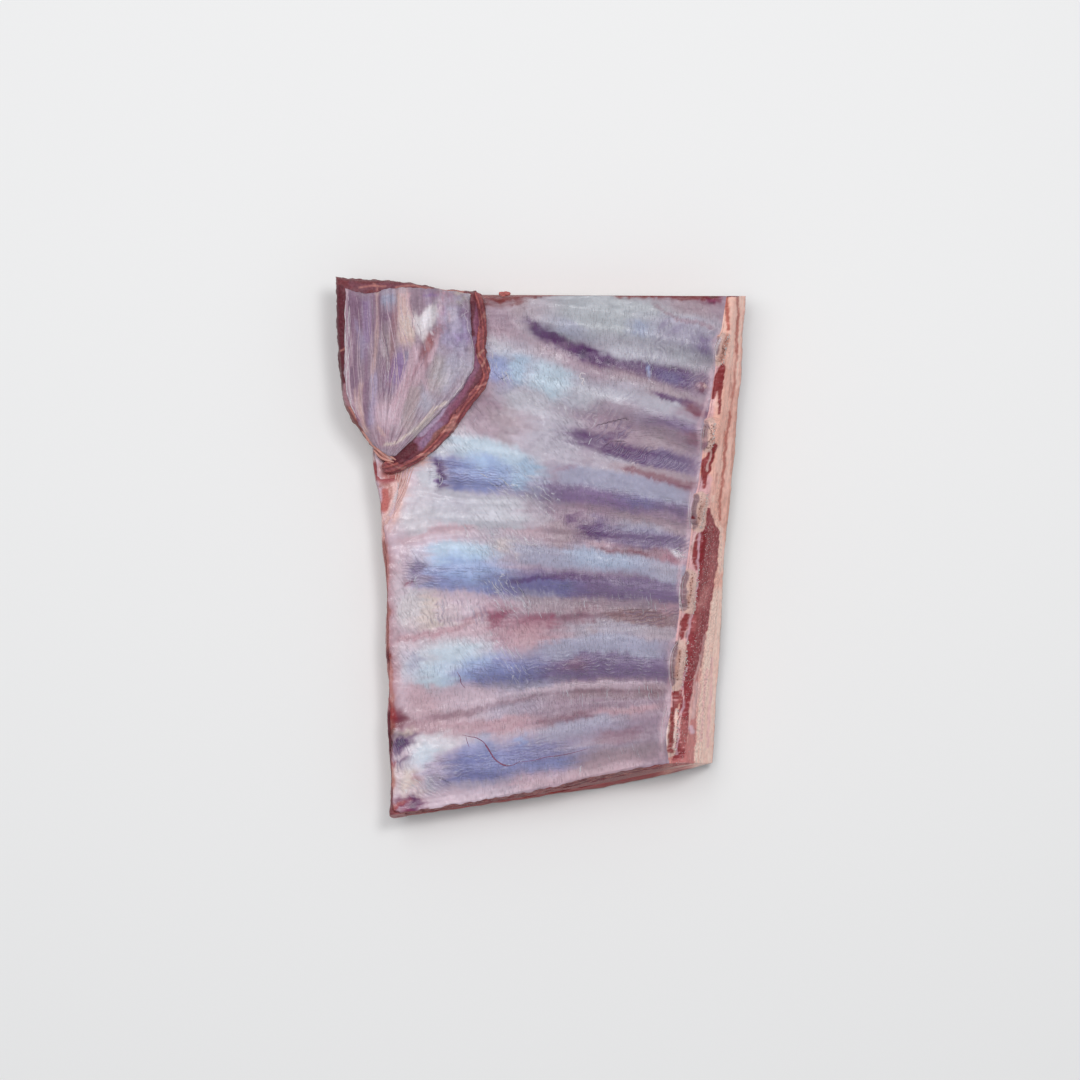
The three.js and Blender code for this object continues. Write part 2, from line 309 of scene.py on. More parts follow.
# Turns a cell box into an object. place gives the corners' places in millimetres, and paint the
# attributes that its materials read. faceKind picks the material of each face from its middle.
def shapeObject(name, bm, place, paint, materials, faceKind=None):
    mesh = bpy.data.meshes.new(name)
    bm.to_mesh(mesh)
    bm.free()
    co = np.empty(len(mesh.vertices) * 3)
    mesh.vertices.foreach_get("co", co)
    unit = co.reshape(-1, 3)
    a, b, c = unit[:, 0].copy(), unit[:, 1].copy(), unit[:, 2].copy()
    x, y, z = place(a, b, c)
    mesh.vertices.foreach_set("co", (np.stack([x, y, z], 1) * mm).ravel())
    for layer, values in paint(a, b, c, x, y, z).items():
        addColors(mesh, layer, values)
    for material in materials:
        mesh.materials.append(material)
    smooth(mesh)
    if faceKind is not None:
        starts = np.empty(len(mesh.polygons), int)
        corners = np.empty(len(mesh.loops), int)
        mesh.polygons.foreach_get("loop_start", starts)
        mesh.loops.foreach_get("vertex_index", corners)
        counts = np.diff(np.append(starts, len(corners)))[:, None]
        middle = np.add.reduceat(np.stack([a, b, c], 1)[corners], starts, axis=0) / counts
        mesh.polygons.foreach_set("material_index", faceKind(*middle.T).astype(int))
    mesh.update()
    return newObject(name, mesh)


# Ties a piece to the frame's root body, and hides the nodes that it stands for
def standFor(obj, slot, *nodes):
    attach(obj, "root")
    if nodes:
        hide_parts(*nodes)
    print("built", obj.name, len(obj.data.polygons), "faces")


# Colours of raw lamb, as linear red, green and blue
tones = {
    "ice": (0.47, 0.56, 0.66),
    "sky": (0.43, 0.55, 0.73),
    "cyan": (0.36, 0.46, 0.61),
    "azure": (0.33, 0.40, 0.62),
    "periwinkle": (0.27, 0.30, 0.52),
    "indigo": (0.20, 0.21, 0.39),
    "slate": (0.20, 0.16, 0.27),
    "plum": (0.115, 0.065, 0.155),
    "steel": (0.35, 0.35, 0.46),
    "lilac": (0.36, 0.33, 0.43),
    "haze": (0.42, 0.395, 0.475),
    "grey": (0.41, 0.43, 0.475),
    "chalk": (0.52, 0.52, 0.59),
    "milk": (0.58, 0.55, 0.61),
    "blush": (0.56, 0.45, 0.53),
    "pink": (0.51, 0.37, 0.43),
    "rose": (0.45, 0.29, 0.345),
    "mauve": (0.33, 0.25, 0.32),
    "taupe": (0.35, 0.275, 0.325),
    "dusk": (0.27, 0.17, 0.22),
    "wine": (0.20, 0.09, 0.125),
    "bruise": (0.31, 0.14, 0.20),
    "brown": (0.25, 0.165, 0.19),
    "grape": (0.25, 0.085, 0.15),
    "red": (0.185, 0.05, 0.06),
    "maroon": (0.115, 0.022, 0.036),
    "blood": (0.45, 0.13, 0.12),
    "coral": (0.60, 0.29, 0.25),
    "cream": (0.62, 0.52, 0.50),
    "fat": (0.62, 0.46, 0.39),
    "white": (0.76, 0.74, 0.80),
    "salmon": (0.61, 0.365, 0.31),
    "tallow": (0.76, 0.5, 0.44),
    "brick": (0.36, 0.13, 0.11),
    "lens": (0.185, 0.058, 0.064),
    "meat": (0.215, 0.068, 0.078),
    "ham": (0.43, 0.185, 0.185),
    "glass": (0.2, 0.155, 0.175),
    "horn": (0.47, 0.345, 0.315),
    "rust": (0.3, 0.14, 0.115),
    "amethyst": (0.25, 0.17, 0.24),
    "violet": (0.30, 0.22, 0.37),
    "thistle": (0.33, 0.25, 0.31),
    "lavender": (0.40, 0.35, 0.50),
    "petal": (0.55, 0.40, 0.47),
    "shell": (0.56, 0.40, 0.40),
    "lard": (0.66, 0.59, 0.63),
    "ash": (0.40, 0.35, 0.37),
    "lead": (0.29, 0.27, 0.34),
    "clay": (0.41, 0.33, 0.36),
    "sinew": (0.36, 0.22, 0.26),
    "heather": (0.25, 0.12, 0.20),
    "peach": (0.74, 0.47, 0.45),
    "heme": (0.33, 0.08, 0.09),
}
tones = {toneName: np.array(color) for toneName, color in tones.items()}


# How much a soft stroke covers each of the points near it. Path, half width and softness are in photo
# pixels, and two half widths are those at the start and the end. With a fade the stroke thins out
# towards its ends, over fade times its softness.
def brush(px, py, path, half, soft, fade=0):
    path = pairs(path)
    start, end = half if np.ndim(half) else (half, half)
    if len(path) > 2:
        path = splinePoint(path, np.linspace(0, 1, 3 * len(path)))
    reach = max(start, end) + soft
    low, high = path.min(0) - reach, path.max(0) + reach
    near = np.flatnonzero((px > low[0]) & (px < high[0]) & (py > low[1]) & (py < high[1]))
    x, y = px[near], py[near]
    gap = np.full(len(near), 1e9)
    along = np.zeros(len(near))
    done = 0
    wide = np.linspace(start, end, len(path))
    for (ax, ay), (bx, by), wideA, wideB in zip(path, path[1:], wide, wide[1:]):
        dx, dy = bx - ax, by - ay
        t = np.clip(((x - ax) * dx + (y - ay) * dy) / max(dx * dx + dy * dy, 1e-9), 0, 1)
        away = np.hypot(x - ax - t * dx, y - ay - t * dy) - mix(wideA, wideB, t)
        along = np.where(away < gap, done + t * math.hypot(dx, dy), along)
        gap = np.minimum(gap, away)
        done += math.hypot(dx, dy)
    cover = 1 - ease(0, soft, gap)
    fadeOver = min(0.4 * done, fade * soft)
    if fadeOver > 1:
        cover = cover * mix(0.3, 1, ease(0, fadeOver, np.minimum(along, done - along)))
    return near, cover


def paintStrokes(color, px, py, strokes, spread=1, share=1, fade=0):
    for tone, half, soft, strength, path in strokes:
        near, cover = brush(px, py, path, half, soft * spread, fade)
        strength = strength * share
        color[near] = mix(color[near], tones[tone], (cover * strength)[:, None])


# The lining's colours. A stroke is tone, half width, softness, strength and path. The path's numbers
# are x, y, x, y and so on, in photo pixels, as in all the lists of paths below.
liningStrokes = [
    # First rib, with the valley behind it. Its pale upper side and dark lower side are partly its own colour
    # and partly painted light and shade, as if lit from the head end.
    ("grey", 17, 12, 1, (538, 312, 600, 317, 660, 330, 716, 350)),
    ("lilac", 9, 12, 0.9, (640, 328, 690, 334, 718, 344)),
    ("haze", 7, 10, 0.8, (585, 340, 640, 354, 690, 362)),
    ("chalk", 4, 7, 0.7, (600, 343, 640, 353, 668, 360)),
    ("steel", 4, 6, 0.8, (548, 324, 570, 328, 590, 336)),
    ("taupe", 6, 8, 0.85, (664, 302, 700, 309, 720, 314)),
    ("taupe", 4, 8, 0.8, (514, 306, 528, 313)),
    ("mauve", 7, 10, 0.85, (484, 312, 500, 322, 516, 330)),
    ("pink", 4, 9, 0.35, (486, 330, 520, 344, 560, 362, 590, 376)),
    ("taupe", 3, 5, 0.5, (526, 344, 552, 354)),
    ("haze", 8, 9, 0.6, (486, 345, 520, 352, 550, 366)),
    ("plum", (1.2, 3), 4.5, 0.85, (524, 319, 538, 328, 552, 337, 566, 344)),
    ("plum", (2.8, 4), 5.5, 0.85, (562, 343, 580, 350, 608, 361, 636, 368, 666, 376)),
    ("plum", (2.5, 3), 4, 0.8, (576, 350, 592, 355)),
    ("plum", 3, 4, 0.9, (602, 359, 612, 362)),
    ("plum", (5, 9), 6, 0.92, (650, 370, 672, 377, 698, 383)),
    # Painted highlight: a thin pale line along the fold
    ("azure", 0.7, 1.6, 0.8, (646, 364, 648, 372, 649, 380)),
    ("indigo", 3, 6, 0.45, (650, 372, 672, 378, 690, 380)),
    ("slate", 5, 6, 0.95, (698, 341, 713, 348)),
    ("azure", 4, 7, 0.4, (630, 326, 650, 330)),
    ("slate", 1.2, 3, 0.5, (658, 334, 664, 326, 670, 320)),
    ("slate", 1.2, 3, 0.4, (672, 338, 678, 330, 684, 326)),
    ("wine", 2.6, 2, 0.75, (699, 388, 705, 389)),
    ("petal", 0.8, 1, 0.9, (699, 385, 701, 388)),
    ("shell", 0.8, 1, 0.9, (704, 386, 706, 389)),
    ("taupe", 6, 8, 0.85, (600, 374, 640, 384, 692, 401)),
    # Second rib: pale upper side and dark lower side, partly its own colour and partly painted light and
    # shade, as if lit from the head end
    ("periwinkle", 7, 8, 0.85, (487, 357, 500, 370, 506, 384)),
    ("chalk", 4, 6, 0.6, (484, 344, 500, 348, 516, 352)),
    ("cyan", 9, 8, 0.9, (508, 364, 530, 371)),
    ("ice", 10, 10, 0.95, (526, 370, 548, 378, 576, 391)),
    ("haze", 9, 10, 0.9, (580, 396, 640, 399, 664, 403)),
    ("chalk", 5, 8, 0.75, (566, 394, 600, 400, 640, 399)),
    ("taupe", 2.5, 4, 0.8, (640, 391, 660, 393, 684, 399)),
    ("haze", 5, 8, 0.75, (640, 398, 676, 408, 708, 420)),
    ("chalk", 3, 6, 0.5, (640, 399, 672, 407, 700, 416)),
    ("steel", 5, 8, 0.5, (620, 412, 650, 418)),
    ("slate", (3, 7), 8, 0.85, (640, 421, 670, 430, 708, 441)),
    ("mauve", 2, 3, 0.8, (672, 410, 690, 415, 708, 420)),
    ("plum", (0.6, 2.6), 3, 0.95, (652, 391, 672, 399, 692, 406, 712, 415)),
    ("wine", 2.6, 2.5, 0.95, (682, 405, 696, 411, 709, 417)),
    ("dusk", 3, 4, 0.7, (684, 403, 712, 413)),
    ("taupe", 12, 12, 0.9, (494, 424, 520, 425)),
    ("haze", 14, 12, 0.95, (520, 422, 560, 440, 592, 456)),
    ("haze", 6, 6, 0.8, (600, 459, 632, 466)),
    ("mauve", 9, 10, 0.8, (484, 394, 486, 412, 492, 424)),
    ("dusk", 3, 7, 0.35, (481, 392, 484, 405)),
    ("taupe", 2, 4, 0.6, (484, 408, 500, 418, 524, 423)),
    ("chalk", 5, 7, 0.7, (498, 394, 524, 401, 560, 410)),
    ("mauve", 10, 9, 0.8, (582, 420, 620, 416, 650, 428)),
    ("taupe", 8, 8, 0.8, (632, 434, 670, 441, 702, 450)),
    ("dusk", 4, 4, 0.9, (684, 437, 697, 440, 707, 443)),
    ("plum", (2, 4), 6, 0.85, (560, 433, 583, 438, 602, 443)),
    ("plum", (3.2, 3.6), 6, 0.9, (598, 444, 616, 451, 640, 456, 664, 460)),
    ("slate", 5, 7, 0.85, (640, 454, 680, 464, 700, 468)),
    ("plum", 1.5, 4, 0.4, (604, 444, 616, 434, 628, 424)),
    ("taupe", 2.5, 4, 0.8, (604, 465, 650, 470, 700, 482)),
    ("wine", 1.6, 2.5, 0.75, (624, 468, 650, 474, 676, 481, 696, 486)),
    ("bruise", 1, 2, 0.7, (556, 468, 566, 467, 577, 469)),
    ("dusk", 2.5, 5, 0.5, (660, 478, 700, 489)),
    # Third rib: pale upper side and dark lower side, partly its own colour and partly painted light and shade,
    # as if lit from the head end
    ("chalk", 9, 10, 0.9, (405, 448, 430, 440, 452, 436)),
    ("ice", 7, 7, 0.95, (438, 447, 465, 448, 500, 456, 532, 466)),
    ("azure", 7, 6, 0.9, (474, 462, 494, 468, 512, 474)),
    ("periwinkle", (9, 8), 7, 0.95, (440, 473, 470, 477, 516, 483)),
    ("azure", 6, 7, 0.75, (456, 463, 484, 470, 520, 478)),
    ("indigo", 1.6, 4, 0.6, (434, 459, 448, 465, 464, 471)),
    ("sky", 4, 5, 0.6, (468, 462, 494, 467)),
    ("chalk", 6, 4, 0.95, (424, 464, 428, 476, 426, 492)),
    ("plum", (2.2, 1), 2.5, 0.9, (432, 460, 437, 468, 440, 478, 438, 490)),
    ("violet", 0.6, 1.2, 0.9, (431, 467, 435, 474, 436, 486)),
    ("slate", 2.5, 3, 0.8, (432, 459, 438, 466, 444, 472)),
    ("plum", 2, 3, 0.7, (434, 490, 440, 488)),
    ("indigo", 3, 4, 0.6, (442, 484, 462, 485)),
    ("cyan", 12, 5, 0.92, (512, 470, 534, 478)),
    ("steel", 6, 5, 0.6, (530, 486, 542, 490)),
    ("steel", (8, 6), 5, 0.95, (552, 474, 590, 479, 640, 487, 692, 500)),
    ("slate", (5, 7), 7, 0.8, (530, 490, 600, 498, 640, 507, 696, 518)),
    ("violet", 3, 6, 0.45, (560, 496, 600, 500, 640, 508)),
    ("indigo", 3, 6, 0.4, (620, 500, 660, 505)),
    ("lilac", 6, 7, 0.5, (548, 500, 562, 510)),
    ("mauve", 5, 7, 0.8, (540, 509, 590, 514, 630, 518)),
    ("petal", 3, 6, 0.4, (640, 512, 670, 520, 690, 526)),
    ("taupe", 3, 4, 0.75, (610, 517, 650, 522, 690, 529)),
    ("milk", 13, 9, 0.9, (412, 500, 420, 520, 440, 528)),
    ("chalk", 12, 7, 0.95, (425, 502, 455, 508, 490, 513, 534, 512)),
    ("haze", 6, 8, 0.7, (444, 503, 470, 507)),
    # Valley under the third rib
    ("blush", 8, 8, 0.85, (396, 548, 430, 546, 470, 542)),
    ("pink", 1.3, 3, 0.8, (394, 541, 415, 538, 435, 532, 456, 526, 472, 529)),
    ("haze", 7, 6, 0.75, (478, 540, 500, 542, 530, 541)),
    ("cream", 3, 5, 0.5, (488, 544, 510, 547, 524, 552)),
    ("taupe", 9, 7, 0.9, (548, 533, 574, 536)),
    ("pink", 2, 4, 0.5, (500, 534, 530, 533, 545, 536)),
    ("plum", 2, 3, 0.75, (568, 523, 576, 519, 584, 515)),
    ("slate", 5, 6, 0.75, (590, 526, 610, 524)),
    ("plum", (2.5, 4), 5, 0.8, (580, 538, 594, 531, 610, 534)),
    ("slate", 5, 5, 0.85, (604, 534, 630, 537, 660, 540, 688, 545)),
    ("steel", 3, 4, 0.5, (610, 524, 640, 528, 670, 531)),
    ("pink", 3, 4, 0.55, (590, 546, 620, 546)),
    ("dusk", 2.5, 4, 0.8, (600, 549, 630, 553, 655, 556, 676, 560)),
    ("wine", 1.2, 2, 0.8, (604, 549, 626, 552, 648, 554)),
    # Painted highlight: a small white glint on the wet lining
    ("white", 0.7, 2, 0.6, (674, 551, 678, 553, 683, 556)),
    ("rose", 5, 5, 0.6, (650, 562, 686, 567)),
    ("bruise", 2.4, 4, 0.8, (660, 560, 684, 563)),
    ("dusk", 1.4, 2.5, 0.65, (546, 548, 555, 552, 562, 551, 570, 548)),
    # Fourth rib: pale upper side and dark lower side, partly its own colour and partly painted light and
    # shade, as if lit from the head end
    ("sky", 8, 6, 1, (422, 556, 450, 554, 490, 559)),
    ("ice", 3, 4, 0.6, (430, 549, 460, 547, 490, 552)),
    ("periwinkle", (7, 9), 6, 0.9, (416, 576, 450, 579, 510, 581)),
    ("azure", 7, 6, 0.9, (434, 566, 470, 570, 504, 572)),
    ("azure", 3, 6, 0.6, (450, 577, 475, 579, 500, 580)),
    ("slate", 3.5, 5, 0.75, (408, 561, 416, 566, 420, 576)),
    ("bruise", 1.8, 2.5, 0.9, (405, 581, 408, 583)),
    ("steel", (6, 7), 5, 0.95, (512, 554, 560, 557, 620, 561, 692, 577)),
    ("cyan", 4, 5, 0.45, (566, 557, 600, 558, 640, 563)),
    ("haze", 5, 5, 0.4, (650, 568, 690, 576)),
    ("slate", (8, 11), 7, 0.85, (494, 580, 560, 585, 620, 591, 696, 600)),
    ("indigo", 6, 7, 0.7, (490, 582, 530, 586, 580, 589)),
    ("plum", 1.5, 2.5, 0.6, (508, 580, 540, 578, 570, 576, 602, 579)),
    ("haze", 4, 5, 0.45, (510, 594, 560, 600)),
    ("taupe", 5, 6, 0.85, (516, 604, 560, 606, 620, 608, 684, 610)),
    # Valley under the fourth rib
    ("milk", 11, 8, 0.9, (398, 596, 410, 606, 420, 620)),
    ("cream", 12, 8, 0.75, (416, 612, 440, 614)),
    ("blush", 10, 8, 0.9, (452, 604, 478, 606)),
    ("pink", 4, 6, 0.7, (396, 642, 440, 636, 470, 630, 496, 632)),
    ("rose", 1.3, 2.5, 0.85, (392, 641, 420, 636, 442, 631, 470, 620, 482, 614)),
    ("bruise", (5, 8), 9, 0.95, (496, 610, 500, 622, 504, 628)),
    ("bruise", 4, 6, 0.7, (508, 622, 530, 624, 552, 621)),
    ("rose", 5, 8, 0.8, (500, 638, 530, 634, 556, 632)),
    ("bruise", 3, 3, 1, (546, 620, 556, 621)),
    ("dusk", 4, 6, 0.85, (556, 622, 580, 617, 600, 611)),
    ("brown", (3, 6), 4, 0.9, (602, 620, 625, 617, 650, 619, 680, 616)),
    ("rose", 3, 4, 0.6, (656, 606, 682, 609)),
    ("haze", 3, 5, 0.6, (560, 630, 600, 627, 640, 630, 680, 634)),
    ("taupe", 2, 3, 0.7, (586, 629, 598, 630)),
    ("taupe", 3, 4, 0.6, (640, 633, 680, 632)),
    # Fifth rib: pale upper side and dark lower side, partly its own colour and partly painted light and shade,
    # as if lit from the head end
    ("chalk", 10, 8, 0.85, (410, 656, 450, 652, 480, 650)),
    ("ice", 8, 7, 0.9, (412, 672, 440, 676, 456, 670)),
    ("steel", 5, 6, 0.8, (406, 660, 416, 664, 422, 670)),
    ("ice", 6, 7, 0.8, (430, 656, 460, 654, 486, 652)),
    ("azure", (7, 6), 8, 0.9, (446, 673, 476, 669, 504, 661)),
    ("indigo", (7, 9), 8, 0.9, (462, 679, 510, 674, 560, 670)),
    ("periwinkle", 4, 7, 0.5, (480, 670, 510, 668, 540, 666)),
    ("slate", (9, 8), 8, 0.88, (530, 669, 590, 665, 640, 668, 678, 668)),
    ("dusk", 3, 5, 0.5, (560, 667, 586, 663)),
    ("steel", 5, 6, 0.9, (530, 656, 560, 650, 600, 643, 645, 648, 670, 650)),
    ("lilac", 4, 5, 0.75, (486, 689, 520, 688, 560, 683)),
    ("blush", 4, 5, 0.5, (470, 686, 486, 690)),
    # Valley under the fifth rib
    ("pink", 10, 9, 0.9, (398, 700, 420, 703, 446, 704)),
    ("blush", 8, 8, 0.9, (444, 700, 480, 700, 506, 698)),
    ("dusk", 1.3, 3, 0.65, (424, 721, 456, 716, 490, 707, 520, 700, 540, 698)),
    ("lilac", 4, 6, 0.55, (480, 714, 520, 708, 550, 706)),
    ("mauve", 9, 8, 0.9, (526, 704, 560, 699, 620, 695, 668, 690)),
    ("brown", 3, 6, 0.5, (560, 694, 600, 692, 640, 690)),
    ("blush", 1.6, 3, 0.7, (500, 694, 540, 691, 580, 687, 640, 685, 670, 686)),
    ("rose", 4, 5, 0.7, (400, 728, 450, 730, 500, 724, 540, 722)),
    ("wine", (1, 2), 4, 0.5, (536, 724, 570, 718, 600, 711)),
    ("brown", 3, 5, 0.6, (630, 692, 652, 690, 672, 689)),
    ("rose", 1.5, 3, 0.7, (600, 712, 630, 709, 662, 705)),
    # Sixth rib: pale upper side and dark lower side, partly its own colour and partly painted light and shade,
    # as if lit from the head end
    ("milk", (7, 5), 6, 0.95, (414, 764, 422, 750, 440, 742, 460, 740)),
    ("ice", 5, 6, 0.6, (414, 768, 424, 756, 440, 748)),
    ("steel", 6, 7, 0.7, (470, 745, 500, 742)),
    ("indigo", (7, 10), 9, 0.95, (438, 776, 470, 767, 512, 766)),
    ("periwinkle", 5, 8, 0.5, (470, 762, 500, 762, 530, 760)),
    ("periwinkle", 5, 6, 0.5, (456, 758, 480, 750, 500, 748)),
    ("azure", 3, 5, 0.6, (515, 744, 530, 742)),
    ("indigo", 6, 9, 0.65, (498, 762, 530, 754, 570, 750)),
    ("steel", 4, 6, 0.6, (530, 738, 570, 728, 620, 721)),
    ("lilac", 7, 8, 0.85, (566, 742, 600, 738, 650, 732)),
    ("periwinkle", 5, 7, 0.6, (520, 772, 550, 768, 580, 756)),
    ("dusk", 4, 7, 0.85, (588, 741, 612, 737, 650, 730)),
    ("haze", 4, 5, 0.85, (424, 786, 438, 782)),
    ("lilac", 4, 5, 0.7, (452, 788, 490, 786, 520, 780)),
    ("blush", 5, 6, 0.8, (430, 802, 470, 797, 510, 790)),
    ("pink", 4, 6, 0.75, (505, 786, 550, 778, 600, 768, 650, 756)),
    ("taupe", 5, 6, 0.6, (568, 764, 620, 754, 664, 746)),
    # Where the skirt is tied to the sternum
    ("peach", (8, 5), 5, 0.9, (388, 468, 396, 486, 390, 508, 385, 524)),
    ("heme", 4, 4, 0.85, (380, 470, 392, 474, 402, 466)),
    ("brick", 1, 2, 0.6, (396, 476, 393, 494, 388, 512)),
    ("petal", 1.5, 2, 0.8, (408, 466, 404, 482, 396, 502, 386, 522)),
    ("red", 0.8, 1.4, 0.7, (402, 470, 399, 484, 391, 502)),
    ("coral", 2, 4, 0.6, (412, 466, 424, 458, 430, 450)),
    # The lining's thin border along the saw cut
    ("petal", 0.6, 2.2, 0.45, (721, 330, 714, 352, 711, 380, 707, 402, 701, 430, 700, 460, 695, 482)),
    ("petal", 0.8, 2.5, 0.6, (694, 486, 689, 510, 689, 535, 682, 566, 680, 600, 679, 626, 672, 645)),
    ("petal", 0.8, 2.5, 0.6, (671, 648, 669, 672, 671, 694, 664, 716, 661, 740, 661, 756)),
    ("rose", 1.6, 2.5, 0.7, (669, 670, 668, 684)),
    # Sternum side and corners
    ("pink", 3, 5, 0.7, (384, 536, 389, 570, 391, 610, 393, 640, 394, 700)),
    ("rose", 1.5, 3, 0.8, (383, 530, 387, 560, 389, 600, 391, 650, 392, 700)),
    ("brick", 1, 2.5, 0.7, (384, 540, 387, 600, 388, 650, 390, 700, 390, 760, 391, 800)),
    ("red", 2, 2.5, 0.95, (388, 650, 390, 662)),
    ("wine", (3, 5), 5, 0.8, (392, 712, 398, 720, 408, 726)),
    ("wine", (2, 5), 4, 0.7, (391, 706, 393, 718, 397, 728)),
    ("heme", (1, 2.5), 3, 0.6, (390, 704, 391, 716, 393, 726)),
    ("maroon", 1.6, 2, 0.9, (389, 728, 390, 739, 390, 750)),
    ("heme", 1.5, 3, 0.7, (390, 752, 394, 760, 392, 768)),
    ("plum", 4, 3, 0.9, (392, 741, 402, 741, 409, 739)),
    ("cream", 2, 2.5, 0.8, (392, 737, 404, 737, 414, 731)),
    ("plum", (5, 4), 4, 0.9, (394, 742, 404, 743, 411, 741)),
    ("plum", 3.5, 4, 0.8, (396, 752, 402, 756, 406, 764)),
    ("blush", 1.5, 2.5, 0.8, (393, 757, 405, 756, 416, 753)),
    ("cream", (5, 7), 6, 0.85, (398, 774, 406, 780, 412, 792)),
    ("bruise", 2, 4, 0.55, (414, 776, 418, 783)),
    ("grape", (6, 5), 4, 0.95, (396, 806, 410, 804, 424, 808)),
    ("plum", 4, 4, 0.8, (404, 802, 412, 802, 420, 808)),
    ("heme", 1, 1.5, 0.7, (390, 812, 400, 803, 408, 799)),
    ("red", 2, 3, 0.85, (392, 800, 394, 815, 412, 818, 430, 812)),
    ("red", 3, 3, 0.9, (478, 299, 500, 300, 524, 298)),
    ("taupe", 1, 2, 0.7, (484, 300, 500, 303, 516, 300)),
    ("red", 1.5, 2, 0.75, (524, 295, 562, 294)),
    ("red", (1.5, 2.5), 2, 0.85, (616, 295, 680, 296, 720, 298)),
    ("grape", 4, 3, 0.9, (704, 299, 718, 298)),
    ("maroon", 1.6, 2, 0.8, (708, 297, 716, 296)),
    ("dusk", 0.8, 2, 0.65, (654, 304, 667, 314, 681, 322, 700, 325, 716, 330)),
]

# Relief of the lining: height in millimetres, half width, softness and path
liningRelief = [
    (0.5, 8, 10, (600, 312, 660, 326, 716, 345)),
    (-0.7, 3, 10, (525, 321, 562, 344, 608, 361, 660, 372, 700, 382)),
    (0.35, 1.5, 3, (648, 342, 649, 362, 650, 384)),
    (-0.5, 2, 8, (560, 433, 602, 444, 640, 456, 700, 468)),
    (0.5, 3, 4, (700, 386, 705, 389)),
    (0.5, 2, 3, (582, 374, 584, 384)),
    (0.7, 5, 6, (444, 472, 470, 474, 500, 478)),
    (-0.6, 2.5, 4, (430, 456, 434, 470, 434, 490)),
    (0.35, 1.2, 3, (546, 468, 548, 484, 546, 505)),
    (0.6, 8, 6, (420, 505, 470, 512, 535, 512)),
    (-0.5, 2, 6, (394, 543, 435, 534, 500, 532, 580, 538, 688, 546)),
    (-0.4, 2, 4, (406, 560, 408, 580, 412, 592)),
    (-0.5, 2, 7, (394, 642, 470, 622, 560, 622, 680, 618)),
    (-0.4, 2, 7, (424, 721, 490, 708, 560, 697, 668, 690)),
    (0.35, 2, 4, (500, 694, 580, 687, 670, 686)),
    (0.4, 4, 5, (444, 768, 496, 768)),
    (0.5, 5, 5, (400, 772, 410, 790)),
    (-0.5, 1.5, 3, (392, 738, 412, 737)),
    (0.9, 3, 3, (706, 300, 716, 298)),
    (0.5, 1.5, 2, (699, 385, 701, 388)),
]

# Creases: how dark, from their own colour and painted shade in the hollows; how light, from painted highlights
# on the crests; direction in degrees, spacing in pixels, half width, softness, path
liningCreases = [
    (0.35, 0.5, 82, 8, 15, 12, (640, 345, 700, 345)),
    (0.55, 0.3, 24, 4.5, 7, 5, (668, 376, 700, 384)),
    (0.35, 0.35, 58, 8, 14, 8, (592, 408, 618, 404)),
    (0.95, 0.2, 38, 4.4, 7, 5, (614, 449, 640, 455, 692, 463)),
    (0.7, 0.2, 48, 6, 8, 6, (604, 434, 622, 428)),
    (0.6, 0.3, 26, 5, 6, 5, (584, 529, 640, 537, 686, 545)),
    (0.25, 0.95, -57, 5, 13, 7, (498, 588, 514, 602)),
    (0.6, 0.35, -8, 3.2, 8, 6, (444, 470, 470, 475, 498, 478)),
    (0.55, 0.4, -10, 3.2, 9, 5, (414, 572, 432, 577)),
    (0.6, 0.35, -76, 5, 11, 6, (440, 616, 474, 612)),
    (0.2, 0.8, -48, 5, 8, 6, (508, 384, 540, 396, 562, 408)),
    (0.25, 0.9, -38, 5, 10, 6, (476, 538, 504, 544, 528, 548)),
    (0.2, 0.8, -62, 5.5, 9, 6, (494, 648, 512, 660, 520, 680)),
    (0.35, 0.6, -35, 4.2, 8, 6, (408, 786, 440, 786)),
    (0.7, 0.3, 100, 4, 8, 4, (396, 744, 404, 764)),
    (0.25, 0.75, -36, 5, 12, 6, (498, 482, 530, 488, 548, 500)),
    (0.5, 0.3, 12, 4, 7, 5, (610, 617, 676, 616)),
    (0.4, 0.5, 104, 5, 7, 6, (486, 362, 500, 372)),
    (0.12, 0.2, -84, 6, 8, 6, (556, 478, 600, 486, 640, 492)),
    (0.15, 0.25, 96, 5, 8, 6, (520, 690, 600, 700, 660, 695)),
    (0.4, 0.4, 12, 4, 9, 7, (446, 772, 480, 762, 540, 748)),
    (0.4, 0.4, 4, 4, 7, 7, (520, 666, 580, 660, 640, 666)),
    (0.15, 0.25, 97, 5, 9, 7, (520, 598, 580, 604, 640, 606)),
]


# Where the lining has fine light hairs, its pale fibres together with painted wet glints: standing, slanted or
# lying, as half width, softness and path
hairZones = {
    "standing": [
        (30, 30, (520, 350, 690, 350)),
        (24, 24, (440, 700, 660, 700)),
        (20, 24, (500, 560, 680, 560)),
        (20, 20, (420, 610, 680, 640)),
        (16, 20, (560, 510, 690, 530)),
        (18, 24, (500, 790, 650, 765)),
    ],
    "slanted": [
        (18, 16, (486, 372, 560, 400)),
        (20, 14, (460, 430, 480, 400)),
        (22, 14, (490, 540, 520, 480)),
        (18, 14, (500, 590, 516, 610)),
        (20, 14, (480, 650, 520, 690)),
        (14, 14, (410, 570, 410, 660)),
        (14, 14, (560, 440, 590, 400)),
    ],
    "lying": [
        (9, 8, (440, 470, 510, 480)),
        (9, 8, (420, 575, 500, 580)),
        (12, 8, (480, 675, 660, 668)),
        (12, 10, (440, 770, 560, 755)),
        (12, 10, (560, 585, 690, 600)),
        (10, 10, (640, 425, 700, 440)),
        (10, 10, (600, 500, 690, 515)),
    ],
}


